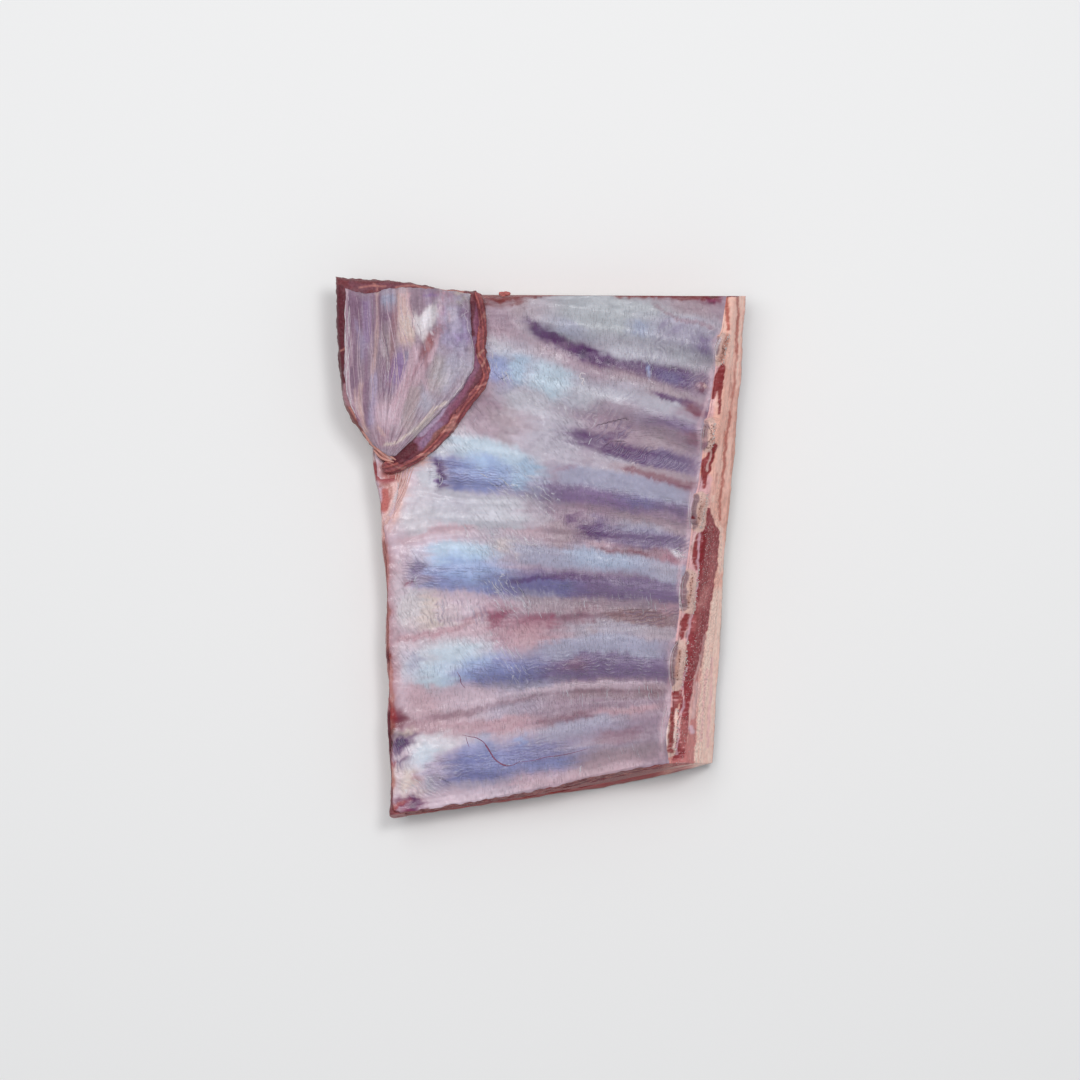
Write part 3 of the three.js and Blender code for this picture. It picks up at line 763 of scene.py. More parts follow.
# A number that stays the same along the ribs and grows by one from each rib to the next one tailwards,
# and the slope of the ribs there
def ribFlow(x, y):
    lines = np.stack([ribY(rib, x) for rib in ribs])
    slopes = np.stack([ribY(rib, x + 2) - ribY(rib, x - 2) for rib in ribs]) / 4
    steps = (lines[:-1] - y) / (lines[:-1] - lines[1:])
    ends = np.minimum(0, steps[0]) + np.maximum(0, steps[-1] - 1)
    steps = np.clip(steps, 0, 1)
    return steps.sum(0) + ends, slopes[0] + (steps * np.diff(slopes, axis=0)).sum(0)


def liningLift(x, y):
    px, py = toPhoto(x, y)
    lift = 0.28 * clouds(x, y, 9, 11) + 0.1 * cloud(x, y, 1.6, 15)
    for height, half, soft, path in liningRelief:
        near, cover = brush(px, py, path, half, soft, 2.5)
        lift[near] += height * cover
    fibres = clouds(0.14 * x, 30 * ribFlow(x, y)[0], 0.9, 17, 2)
    return lift + 0.04 * fibres + 0.05 * cloud(x, 0.4 * y, 0.8, 19)


def creaseField(px, py, x, y, creases):
    field = np.zeros((len(px), 3))
    best = np.zeros(len(px))
    for dark, light, angle, spacing, half, soft, path in creases:
        near, cover = brush(px, py, path, half, soft)
        across = math.radians(angle + 90)
        phase = (px[near] * math.cos(across) - py[near] * math.sin(across)) / spacing
        phase = phase + 0.8 * clouds(x[near], y[near], 4, 31, 3)
        cover = cover * mix(0.25, 1, ease(-0.4, 0.5, clouds(x[near], y[near], 3, 37, 2)))
        won = cover > best[near]
        chosen = near[won]
        best[chosen] = cover[won]
        field[chosen, 0] = phase[won]
        field[chosen, 1] = dark * cover[won]
        field[chosen, 2] = light * cover[won]
    return field


def hairField(px, py, zones):
    field = np.zeros((len(px), 3))
    for i, kind in enumerate(("standing", "slanted", "lying")):
        for half, soft, path in zones[kind]:
            near, cover = brush(px, py, path, half, soft)
            field[near, i] = np.maximum(field[near, i], cover)
    return field


# Each pass paints all strokes, at a share of their softness and of their strength
liningPaint = {"passes": [(2.2, 0.75), (1.1, 0.85)], "fade": 2.6, "contrast": 1.24, "lower": 0.014,
               "middle": (0.34, 0.31, 0.375), "feather": 7, "featherHalf": 44, "hairs": 1.6}


def liningTone(x, y):
    px, py = toPhoto(x, y)
    wx = px + 3 * clouds(x, y, 7, 41, 2) + 0.6 * cloud(x, y, 1.2, 44)
    wy = py + 1.8 * clouds(x, y, 7, 51, 2) + 0.5 * cloud(x, y, 1.2, 54)
    flow, slope = ribFlow(x, y)
    fibres = clouds(0.12 * x, 30 * flow, 1.1, 47, 2)
    inside = ease(0, 12, liningPaint["featherHalf"] - np.abs(x + 4)) * mix(0.4, 1, ease(0.7, 1.6, flow))
    shift = liningPaint["feather"] * fibres * inside
    wx, wy = wx + shift, wy - slope * shift
    wy = wy + liningPaint["hairs"] * cloud(x + 0.3 * y, 0.22 * y, 0.75, 57)
    right = ease(460, 600, wx)[:, None]
    color = mix(tones["blush"], tones["mauve"], right) * np.ones((len(x), 1))
    for spread, share in liningPaint["passes"]:
        paintStrokes(color, wx, wy, liningStrokes, spread, share, liningPaint["fade"])
    color = color * (1 + 0.035 * fibres + 0.04 * cloud(x + 0.3 * y, 0.4 * y, 0.7, 63))[:, None]
    middle = np.array(liningPaint["middle"])
    color = middle + (color - middle) * liningPaint["contrast"] - np.array([0, 1, 1]) * liningPaint["lower"]
    return np.clip(color * (1 + 0.05 * clouds(x, y, 4, 61) + 0.02 * cloud(x, y, 0.9, 64))[:, None], 0.02, 1)


# perMm is how fast the bands of fascia follow on each other
layered = {"meat": (0.3, 0.06, 0.07), "fascia": (0.6, 0.22, 0.18), "perMm": 3.1}


# Layered meat of a cut side face, by the distance along it and the height above the layer's floor
def layeredMeat(along, height, seed):
    wavy = height + 0.5 * clouds(along, height * 2, 7, seed)
    fascia = ease(0.55, 0.95, np.cos(wavy * layered["perMm"] + 1.5 * cloud(along, wavy, 14, seed + 5)))
    shade = (0.5 + 0.5 * clouds(along, height, 3, seed + 7))[:, None]
    meat = mix(np.array(layered["meat"]), tones["red"], shade)
    return mix(meat, np.array(layered["fascia"]), (0.6 * fascia)[:, None])


def addNode(tree, kind, inputs=None, **settings):
    node = tree.nodes.new(kind)
    for key, value in settings.items():
        setattr(node, key, value)
    for key, value in (inputs or {}).items():
        if isinstance(value, bpy.types.NodeSocket):
            tree.links.new(value, node.inputs[key])
        else:
            node.inputs[key].default_value = value
    return node


def mathNode(tree, operation, a, b=0.0):
    return addNode(tree, "ShaderNodeMath", {0: a, 1: b}, operation=operation).outputs[0]


def times(tree, a, b):
    return mathNode(tree, "MULTIPLY", a, b)


# Inputs 6 and 7 and output 2 of the mix node are its colours
def mixNode(tree, factor, a, b, mode="MIX"):
    node = addNode(tree, "ShaderNodeMix", {0: factor, 6: a, 7: b}, data_type="RGBA", blend_type=mode)
    return node.outputs[2]


def rangeNode(tree, value, low, high, toLow=0.0, toHigh=1.0):
    inputs = {"Value": value, "From Min": low, "From Max": high, "To Min": toLow, "To Max": toHigh}
    return addNode(tree, "ShaderNodeMapRange", inputs, interpolation_type="SMOOTHSTEP").outputs[0]


def solid(tone):
    return (*tones[tone], 1)


def noiseNode(tree, coords, size, detail=3.0):
    inputs = {"Vector": coords, "Scale": 1 / size, "Detail": detail}
    return addNode(tree, "ShaderNodeTexNoise", inputs).outputs["Fac"]


# Noise drawn out along a direction: sizes in metres across and along it, angle in degrees
def streaks(tree, coords, angle, across, along, detail=2.0):
    turn = addNode(tree, "ShaderNodeMapping", {"Vector": coords, "Rotation": (0, 0, math.radians(-angle))})
    scale = {"Vector": turn.outputs[0], "Scale": (1 / along, 1 / across, 1 / along)}
    return noiseNode(tree, addNode(tree, "ShaderNodeMapping", scale).outputs[0], 1, detail)


# The three channels of a painted attribute
def channels(tree, layer):
    color = addNode(tree, "ShaderNodeAttribute", attribute_name=layer).outputs["Color"]
    return addNode(tree, "ShaderNodeSeparateColor", {0: color}).outputs


# A colour made darker and lighter by noise
def mottled(tree, color, noise, low, high, depth):
    shade = rangeNode(tree, noise, low, high, 1 - depth, 1 + depth)
    grey = addNode(tree, "ShaderNodeCombineColor", {0: shade, 1: shade, 2: shade}).outputs[0]
    return mixNode(tree, 1.0, color, grey, "MULTIPLY")


def newMaterial(name, finish):
    material = bpy.data.materials.new(name)
    material.use_nodes = True
    tree = material.node_tree
    tree.nodes.clear()
    shader = addNode(tree, "ShaderNodeBsdfPrincipled")
    for socket, value in finish.items():
        shader.inputs[socket].default_value = value
    addNode(tree, "ShaderNodeOutputMaterial", {"Surface": shader.outputs[0]})
    coords = addNode(tree, "ShaderNodeTexCoord").outputs["Object"]
    tone = addNode(tree, "ShaderNodeAttribute", attribute_name="tone").outputs["Color"]
    return material, tree, shader, coords, tone


def wetFinish(rough, coat, coatRough, under, radius, shine=0.4):
    return {
        "Roughness": rough,
        "Coat Weight": coat,
        "Coat Roughness": coatRough,
        "Coat IOR": 1.38,
        "Specular IOR Level": shine,
        "Subsurface Weight": under,
        "Subsurface Radius": (1.0, 0.5, 0.4),
        "Subsurface Scale": radius * mm,
    }


def bumpNode(tree, height, distance, strength=1.0, before=None):
    inputs = {"Height": height, "Distance": distance * mm, "Strength": strength}
    if before is not None:
        inputs["Normal"] = before
    return addNode(tree, "ShaderNodeBump", inputs).outputs[0]


def connect(tree, shader, color, normal):
    tree.links.new(color, shader.inputs["Base Color"])
    for socket in ("Normal", "Coat Normal"):
        tree.links.new(normal, shader.inputs[socket])


# The standing, slanted and lying hairs: direction in degrees, and sizes in mm across and along it
hairStrands = [(94, 0.24, 2.2), (-52, 0.26, 3.0), (-3, 0.24, 3.6)]


# The lining: painted tones under a wet membrane, with a milky veil that is partly painted sheen, light hairs
# that are partly painted glints, and creases with painted shade and highlights
def liningMaterial():
    material, tree, shader, coords, color = newMaterial("wetLining", wetFinish(0.42, 0.3, 0.16, 0.05, 1.0))
    crease, hair = channels(tree, "crease"), channels(tree, "hair")
    color = mottled(tree, color, noiseNode(tree, coords, 1.6 * mm, 5.0), 0.25, 0.75, 0.06)
    # A faint milky veil, the membrane's pale film together with painted wet sheen
    sheenVeil = rangeNode(tree, noiseNode(tree, coords, 5 * mm, 4.0), 0.45, 0.75)
    color = mixNode(tree, times(tree, sheenVeil, 0.07), color, solid("milk"))
    wobble = times(tree, noiseNode(tree, coords, 1.8 * mm, 2.0), 0.55)
    phase = times(tree, mathNode(tree, "ADD", crease[0], wobble), 2 * math.pi)
    wave = mathNode(tree, "SINE", phase)
    broken = rangeNode(tree, noiseNode(tree, coords, 1.5 * mm, 2.0), 0.4, 0.6)
    # Darker lines in the creases, their own colour with painted shade in the hollows, and painted highlights
    # on the crests
    darkLine = times(tree, rangeNode(tree, wave, -0.1, -0.95), crease[1])
    creaseHighlight = times(tree, times(tree, rangeNode(tree, wave, 0.55, 1.0), broken), crease[2])
    color = mixNode(tree, times(tree, darkLine, 0.65), color, solid("slate"))
    color = mixNode(tree, times(tree, creaseHighlight, 0.65), color, solid("white"))
    height = times(tree, mathNode(tree, "SUBTRACT", creaseHighlight, darkLine), 0.5)
    # Hairs: pale strands mixed into the colour, pale fibres together with painted glints, and raised in the
    # bump
    for channel, (angle, across, along) in enumerate(hairStrands):
        strand = rangeNode(tree, streaks(tree, coords, angle, across * mm, along * mm), 0.57, 0.72)
        strand = times(tree, strand, hair[channel])
        color = mixNode(tree, times(tree, strand, 0.2), color, solid("milk"))
        height = mathNode(tree, "ADD", height, times(tree, strand, 0.35))
    normal = bumpNode(tree, noiseNode(tree, coords, 1.1 * mm, 4.0), 0.22, 0.5)
    normal = bumpNode(tree, height, 0.35, 0.9, normal)
    connect(tree, shader, color, normal)
    roughness = rangeNode(tree, noiseNode(tree, coords, 3 * mm), 0.3, 0.7, 0.34, 0.52)
    tree.links.new(roughness, shader.inputs["Roughness"])
    return material


# Cut meat, fat and bone: painted tones with grain of three sizes
def cutMaterial(name, look):
    finish = wetFinish(look["rough"], look["coat"], 0.2, look["under"], 1.5, 0.2)
    material, tree, shader, coords, color = newMaterial(name, finish)
    flecked, streaked, _ = channels(tree, "grain")
    grain = noiseNode(tree, coords, look["grain"] * mm, 6.0)
    color = mottled(tree, color, grain, 0.28, 0.72, look["depth"])
    strand = streaks(tree, coords, look["angle"], look["across"] * mm, look["along"] * mm, 4.0)
    strand = times(tree, rangeNode(tree, strand, 0.5, 0.68), streaked)
    paler = mixNode(tree, 1.0, color, (0.16, 0.12, 0.12, 1), "ADD")
    color = mixNode(tree, times(tree, strand, look["strand"]), color, paler)
    cells = {"Vector": coords, "Scale": 1 / (look["fleck"] * mm)}
    flecks = addNode(tree, "ShaderNodeTexVoronoi", cells).outputs["Distance"]
    patchy = rangeNode(tree, noiseNode(tree, coords, 4 * mm, 2.0), 0.42, 0.62)
    fleck = times(tree, rangeNode(tree, flecks, 0.3, 0.12), patchy)
    fleck = times(tree, fleck, flecked)
    covering = times(tree, fleck, look["fleckStrength"])
    color = mixNode(tree, covering, color, solid(look["fleckTone"]))
    relief = mathNode(tree, "ADD", times(tree, fleck, 0.6), strand)
    normal = bumpNode(tree, grain, 0.4, look["bump"])
    normal = bumpNode(tree, relief, 0.25, look["bump"], normal)
    connect(tree, shader, color, normal)
    return material


# Sizes are in mm, and depth, strand, fleckStrength and bump say how strongly each shows
meatLook = {"rough": 0.45, "coat": 0.08, "under": 0.04, "grain": 0.8, "depth": 0.2,
            "angle": 84, "across": 0.5, "along": 2.5, "strand": 0.2, "fleck": 0.9, "fleckStrength": 0.5,
            "fleckTone": "pink", "bump": 0.7}
fatLook = {"rough": 0.5, "coat": 0.08, "under": 0.08, "grain": 1.6, "depth": 0.1,
           "angle": 86, "across": 0.55, "along": 7, "strand": 0.35, "fleck": 1.4, "fleckStrength": 0.15,
           "fleckTone": "cream", "bump": 0.5}
boneLook = {"rough": 0.5, "coat": 0.08, "under": 0.05, "grain": 0.5, "depth": 0.14,
            "angle": 80, "across": 0.4, "along": 1.6, "strand": 0.25, "fleck": 0.7, "fleckStrength": 0.45,
            "fleckTone": "brown", "bump": 0.6}
skirtLook = {"rough": 0.42, "coat": 0.3, "under": 0.04, "grain": 0.9, "depth": 0.07,
             "angle": 95, "across": 0.4, "along": 7, "strand": 0.3, "fleck": 1.2, "fleckStrength": 0.12,
             "fleckTone": "milk", "bump": 0.7}
liningSkin = liningMaterial()
cutMeat = cutMaterial("cutMeat", meatLook)
cutFat = cutMaterial("cutFat", fatLook)
cutBone = cutMaterial("cutBone", boneLook)
skirtFace = cutMaterial("skirtFace", skirtLook)
print("materials ready")

# The sawn face, the same for all pieces that end in it. A stroke is as in the lining.
sawnStrokes = [
    # Outer fat
    ("tallow", (4, 8), 7, 1, (717, 596, 713, 640, 708, 690, 703, 745, 700, 770)),
    ("tallow", (3, 7), 4, 0.9, (718, 610, 713, 660, 707, 715, 703, 765)),
    ("tallow", 2, 2.5, 0.85, (721, 530, 723, 548, 722, 570)),
    ("tallow", 2, 2, 0.6, (733, 298, 732, 330, 729, 366)),
    ("tallow", 2, 2, 0.6, (722, 300, 724, 325, 721, 345)),
    ("tallow", 1.6, 2, 0.8, (742, 298, 742, 340, 739, 385)),
    ("tallow", 1.5, 2, 0.5, (731, 440, 729, 466, 727, 490)),
    ("tallow", 1.5, 2, 0.5, (720, 450, 718, 475, 712, 500)),
    ("rose", 0.6, 1.5, 0.45, (713, 660, 711, 700, 708, 748)),
    ("rose", 0.5, 1.5, 0.4, (707, 670, 703, 710, 701, 740)),
    ("brick", 0.8, 1.3, 0.9, (738, 296, 738, 325, 737, 350)),
    ("brick", 0.5, 1.5, 0.6, (737, 350, 735, 375, 733, 398, 730, 415)),
    ("brick", 0.7, 1.2, 0.9, (730, 412, 728, 430, 725, 458, 723, 482, 720, 508, 720, 520)),
    ("brick", 1, 1.4, 0.95, (726, 296, 727, 312, 728, 330)),
    ("brick", 1.4, 1.6, 0.6, (733, 383, 731, 396)),
    ("brick", 0.7, 1.5, 0.5, (725, 432, 724, 448)),
    ("brick", 0.6, 1.5, 0.5, (717, 474, 714, 494)),
    ("rust", 0.6, 1.5, 0.35, (745, 310, 743, 350, 739, 400, 734, 450, 731, 490, 727, 525)),
    # Meat and gristle between the rib ends
    ("rose", 4, 4, 0.65, (716, 366, 710, 392, 707, 418, 704, 446)),
    ("rose", 4, 4, 0.65, (706, 480, 697, 536, 690, 572, 684, 614, 676, 650, 668, 712)),
    ("rose", 2.5, 3, 0.6, (699, 480, 697, 492)),
    ("lens", (2.2, 4.4), 1.2, 1, (722, 367, 720, 374, 719, 379)),
    ("lens", (4.4, 1.2), 1.2, 1, (719, 379, 716, 388, 713, 397)),
    ("lens", (1.8, 0.6), 1.2, 0.95, (721, 384, 719.5, 396, 718.5, 413)),
    ("shell", 0.3, 1, 0.4, (717, 392, 716, 400, 717, 406)),
    ("lens", (2.4, 5), 1.3, 1, (714, 446, 710, 456, 706, 466)),
    ("lens", (4.8, 1), 1.3, 1, (706, 466, 704, 475, 704, 487)),
    ("cream", 0.3, 1, 0.5, (711, 450, 709, 460, 706, 470)),
    ("lens", (1, 4.4), 1.3, 1, (700, 530, 698, 539, 696, 548)),
    ("lens", (4.4, 1), 1.3, 1, (696, 548, 695, 557, 696, 568)),
    ("cream", 0.3, 1, 0.45, (696, 534, 692, 546, 691, 558)),
    ("lens", (1, 4.2), 1.3, 1, (691, 609, 688, 616, 685, 623)),
    ("lens", (4.2, 1), 1.3, 1, (685, 623, 683, 630, 681, 638)),
    ("shell", 0.35, 0.8, 0.5, (690, 613, 689, 622, 686, 632)),
    ("glass", 1.6, 1.2, 0.9, (689, 631, 687, 637)),
    ("lens", 1.1, 1, 0.8, (681, 643, 681, 646)),
    ("lens", (1, 3.4), 1.4, 0.9, (680, 680, 678, 688, 676, 695)),
    ("lens", (3.4, 1), 1.4, 0.9, (676, 695, 675, 702, 675, 710)),
    ("cream", 1, 1.2, 0.6, (681, 680, 682, 700)),
    ("ham", (1.5, 3), 2, 0.8, (672, 752, 668, 762, 660, 768)),
    # Breast muscle
    ("meat", (1, 8), 1.3, 1, (707, 509, 709, 521, 711, 535)),
    ("meat", (8.2, 9.3), 1.3, 1, (711, 535, 710, 548, 708.5, 562)),
    ("meat", (9.3, 8.5), 1.3, 1, (708.5, 560, 706, 580, 702.5, 600)),
    ("meat", (8.5, 8.8), 1.3, 1, (702.5, 598, 699.5, 620, 695.5, 642)),
    ("meat", (8.8, 7.2), 1.3, 1, (695.5, 640, 693, 660, 689.5, 682)),
    ("meat", (7.2, 6.4), 1.3, 1, (689.5, 680, 687, 700, 683, 724)),
    ("meat", (6.4, 8), 1.3, 1, (683, 722, 681, 748, 681, 776)),
    ("maroon", 1.4, 2, 0.5, (704, 528, 703, 546, 701, 562)),
    ("ham", 1.5, 4, 0.3, (714, 556, 712, 580)),
    ("ham", 2, 5, 0.5, (706, 590, 703, 604)),
    ("ham", 1.5, 4, 0.3, (697, 604, 694, 628)),
    ("ham", 2, 4, 0.45, (682, 722, 684, 744)),
    ("ham", (1.5, 4.4), 2, 0.95, (699, 672, 695, 700, 692, 732, 688, 766)),
    ("shell", 1.4, 2, 0.75, (698, 684, 696, 700, 693, 716)),
    ("ham", 5, 4, 0.7, (676, 766, 688, 764)),
    ("petal", 1.6, 2, 0.8, (690, 728, 692, 731)),
    ("petal", 0.4, 1, 0.6, (699, 532, 698, 556, 697, 570, 696, 590, 692, 612, 689, 630, 686, 641)),
    ("petal", 0.4, 1, 0.6, (686, 668, 682, 684, 684, 700, 680, 714, 678, 732, 676, 752)),
    ("shell", 0.4, 1, 0.55, (700, 656, 697, 672, 693, 690, 690, 712, 688, 726)),
    ("shell", 0.5, 1.2, 0.4, (705, 636, 702, 652, 699, 668)),
    # The ribs' sawn ends: pale bone with a glassy rim under the lining
    ("horn", (3, 4), 1.2, 1, (722, 338, 720, 350, 717, 362)),
    ("horn", (5, 5), 1.2, 1, (710, 424, 707, 434, 706, 446)),
    ("horn", (6.5, 6.5), 1.2, 1, (701, 499, 699, 511, 698, 526)),
    ("horn", (6, 7), 1.2, 1, (690, 576, 688, 590, 688, 606)),
    ("horn", (5.5, 6), 1.2, 1, (680, 646, 678, 660, 675, 684)),
    ("horn", (5, 5), 1.2, 1, (671, 714, 670, 730, 669, 750)),
    ("glass", 2.4, 1.5, 0.95, (717, 340, 715, 352)),
    ("chalk", 0.6, 1.2, 0.5, (714, 342, 712, 358)),
    ("rust", 1.4, 2, 0.55, (727, 337, 724, 346, 721, 360)),
    ("glass", 3, 1.5, 1, (705, 424, 704, 434, 703, 446)),
    ("dusk", 1.2, 1.5, 0.6, (703, 440, 704, 446)),
    ("rust", 0.6, 1.5, 0.4, (714, 427, 712, 434, 711, 442)),
    ("glass", 3, 1.5, 1, (695, 498, 693, 510, 693, 526)),
    ("maroon", 1, 1.2, 0.85, (692, 517, 693, 518)),
    ("rust", 0.5, 1.5, 0.35, (704, 500, 700, 510, 698, 521)),
    ("glass", 3.4, 1.5, 1, (685, 575, 682, 590, 683, 607)),
    ("rust", 0.6, 1.5, 0.45, (692, 578, 690, 590, 688, 602)),
    ("dusk", 0.5, 1, 0.6, (681, 590, 682, 602)),
    ("glass", 2.6, 1.5, 1, (675, 645, 672, 660, 671, 682)),
    ("rust", 0.8, 1.5, 0.5, (679, 652, 677, 664, 676, 676)),
    ("chalk", 1, 2, 0.6, (665, 715, 664, 735, 664, 750)),
    ("lens", 2, 1.5, 0.95, (672, 710, 671, 730, 670, 750)),
    ("cream", 0.4, 1.2, 0.6, (676, 709, 675, 730, 673, 748)),
    ("white", 0.3, 0.8, 0.35, (720, 338, 716, 350, 713, 366)),
    ("white", 0.3, 0.8, 0.5, (702, 424, 700, 436, 699, 450)),
    ("white", 0.3, 0.8, 0.45, (691, 498, 689, 510, 691, 528)),
    ("white", 0.3, 0.8, 0.45, (681, 574, 679, 590, 680, 608)),
    ("white", 0.3, 0.8, 0.6, (670, 650, 668, 668, 668, 686)),
]


# Painted light: gain brightens all the sawn colours, for the lamp light that the steep sawn face misses. Lower
# takes a little off green and blue, and fibres and grit set the grain.
sawnLight = {"gain": 1.4, "lower": (0, 0.045, 0.05), "fibres": 0.07, "grit": 0.25}


# From 0 on pale fat to 1 on dark meat, by the green of the tone
def leanShare(tone):
    return ease(0.22, 0.10, tone[:, 1])


def sawnTone(px, py, y, z):
    uneven = 0.06 * clouds(y, z * 2, 4, 91) + 0.04 * cloud(y, z, 1, 95)
    tone = tones["salmon"] * (1 + uneven)[:, None]
    acrossMm = px / photo["perMm"]
    wx = px + 0.9 * clouds(acrossMm, y, 2, 97) + 0.3 * cloud(acrossMm, y, 0.8, 99)
    wy = py + 1.2 * clouds(acrossMm, y, 2.4, 98)
    paintStrokes(tone, wx, wy, sawnStrokes, 1.2)
    lean = leanShare(tone)
    fibres = clouds(0.1 * y, z, 0.55, 92, 2) + 0.6 * clouds(0.3 * y, z, 1.4, 93, 2)
    grit = cloud(y, z, 0.42, 94)
    tone = tone * (1 + sawnLight["fibres"] * fibres * (1 - lean) + sawnLight["grit"] * grit * lean)[:, None]
    tone = tone + (np.maximum(0, grit - 0.55) * lean * 0.5)[:, None] * np.array([1, 0.8, 0.8])
    paler = (0.4 * ease(0.25, 0.8, clouds(0.16 * y, z, 1.1, 96)) * (1 - lean))[:, None]
    tone = mix(tone, tones["tallow"] * 1.06, paler)
    # Brightened by the gain, as painted light
    return np.clip(tone * sawnLight["gain"] - np.array(sawnLight["lower"]), 0.02, 0.95)


# The tail's cut side takes the sawn face's colours near the corner that they share
def sawnCorner(side, sawn, px, b):
    return mix(side, sawn, (ease(656, 680, px) * (b < 0.5))[:, None])


# The grain layer holds how flecked and how streaked a material is
def grainLayer(x, flecked, streaked):
    return np.stack([0 * x + flecked, 0 * x + streaked, 0 * x], 1)


# Dark meat is flecked and fat is streaked
def sawnGrain(tone):
    lean = leanShare(tone)
    return grainLayer(lean, lean, 1 - lean)


# The wall: a sheet of lining over the meat between the ribs
wall = {"cells": (208, 424), "sheetCells": 3, "meatCells": 24, "sheet": 0.9, "dip": 0.45, "from": 0.004,
        "edge": 1.5, "edgeDrop": 0.25, "sawnDrop": 0.1, "ringPower": 1.4, "tailRough": 0.35,
        "borderA": 0.01, "borderB": 0.005}


# Millimetres from the nearest side of the slab
def edgeDistance(a, b):
    across = np.minimum(a, 1 - a) * slab["width"]
    return np.minimum(across, np.minimum(b, 1 - b) * slab["length"])


def placeWall(a, b, c):
    u = mix(wall["from"], 1, a)
    rings = 1 - (1 - c) ** wall["ringPower"]
    x, y, z = slabPoint(u, b, mix(wallFloor(u, b), 1, rings))
    near = ease(0, wall["edge"], edgeDistance(a, b))
    drop = np.where(a > 0.97, wall["sawnDrop"], wall["edgeDrop"])
    z = z + c**4 * (liningLift(x, y) * near - drop * (1 - near))
    rough = (1 - near) * (0.22 * clouds(x + y, z, 1.8, 71) + 0.2 * cloud(b * slab["length"], c * 7, 5, 73))
    torn = (b < 0.01) * (1 - near) * wall["tailRough"] * clouds(x, 2 * z, 3, 75)
    rough = rough * np.where(a > 0.5, 0.2, 1) + torn
    x = x + rough * np.sign(a - 0.5) * (np.abs(a - 0.5) > 0.5 - wall["borderA"])
    return x, y + rough * np.sign(b - 0.5) * (np.abs(b - 0.5) > 0.5 - wall["borderB"]), z


def paintWall(a, b, c, x, y, z):
    px, py = toPhoto(x, y)
    tone = liningTone(x, y)
    side = layeredMeat(np.where(onEnds(a), y, x), (1 - c) * slab["wallThickness"], 81)
    sawn = sawnTone(px, py, y, z)
    side = sawnCorner(side, sawn, px, b)
    side = np.where((onLast(a) & (b > 0.004) & (b < 0.996))[:, None], sawn, side)
    tone = np.where(onLast(c)[:, None], tone, side)
    crease, hair = creaseField(px, py, x, y, liningCreases), hairField(px, py, hairZones)
    return {"tone": tone, "crease": crease, "hair": hair, "grain": sawnGrain(tone)}


# A part of the wall from one level to another one. The inner faces between the parts dip, so that
# thinning them can't bring them through the lining.
def wallPart(name, cells, low, high, materials, faceKind, hidden):
    bm = cellBox((*wall["cells"], cells))
    for height in hidden:
        thinHiddenFace(bm, height)

    def place(a, b, c):
        level = mix(low, high, c)
        inside = onFirst(np.abs(level - wall["sheet"])) * ease(0, 4, edgeDistance(a, b))
        return placeWall(a, b, level - wall["dip"] * inside)

    def paint(a, b, c, x, y, z):
        return paintWall(a, b, mix(low, high, c), x, y, z)

    return shapeObject(name, bm, place, paint, materials, faceKind)


def sheetFace(a, b, c):
    return np.where(onLast(c), 0, np.where(onLast(a), 2, 1))


def meatFace(a, b, c):
    return onLast(a)


sheetMaterials, meatMaterials = [liningSkin, cutMeat, cutFat], [cutMeat, cutFat]
lining = wallPart("rib_lining", wall["sheetCells"], wall["sheet"], 1, sheetMaterials, sheetFace, [0])
standFor(lining, "lining", "rib_wall")
wallMeat = wallPart("wall_meat", wall["meatCells"], 0, wall["sheet"], meatMaterials, meatFace, [0, 1])
standFor(wallMeat, "meat")

# Breast muscle under the wall
muscle = {"cells": (8, 560, 24), "from": 0.02, "overlap": 0.01, "tint": (1.3, 0.9, 0.9)}


def placeMuscle(a, b, c):
    u = mix(muscle["from"], 1, a)
    x, y, z = slabPoint(u, b, mix(muscleFloor(u, b), wallFloor(u, b) + muscle["overlap"], c))
    rough = 0.16 * clouds(y, z, 1.6, 101) + 0.05 * cloud(y, z, 0.7, 103)
    return x + onEnds(a) * (rough - 0.1), y, z


def paintMuscle(a, b, c, x, y, z):
    tone = tones["red"] * np.array(muscle["tint"]) * np.ones((len(x), 1))
    tone = mix(tone, layeredMeat(x, 2 * z, 107), (0.8 * ease(0.1, 0.02, b))[:, None])
    tone = tone * (1 + 0.12 * clouds(y, z * 1.5, 5, 105))[:, None]
    px, py = toPhoto(x, y)
    sawn = sawnTone(px, py, y, z)
    tone = np.where(onLast(a)[:, None], sawn, sawnCorner(tone, sawn, px, b))
    return {"tone": tone, "grain": sawnGrain(tone)}


meat = shapeObject("breast_meat", cellBox(muscle["cells"]), placeMuscle, paintMuscle, [cutMeat])
standFor(meat, "meat", "breast_muscle")

# Outer fat, with a thin skin muscle in it
fat = {"cells": (48, 520, 24), "from": 0.012, "overlap": 0.01, "tailTone": (0.64, 0.5, 0.41)}


def placeFat(a, b, c):
    u = mix(fat["from"], 1, a)
    x, y, z = slabPoint(u, b, mix(0, muscleFloor(u, b) + fat["overlap"], c))
    bottom = onFirst(c) & (undersideZ(x, y) > 0.02)
    lumps = 0.35 * (0.5 + 0.5 * clouds(x, y, 7, 111)) * ease(0.02, 0.5, undersideZ(x, y))
    z = z + bottom * lumps
    tailWave = onFirst(b) * 0.35 * clouds(x, z, 4, 113)
    wave = 0.12 * clouds(y, z, 2, 115) + 0.25 * cloud(y, z, 8, 117)
    return x + onEnds(a) * (wave - 0.3), y - tailWave, z


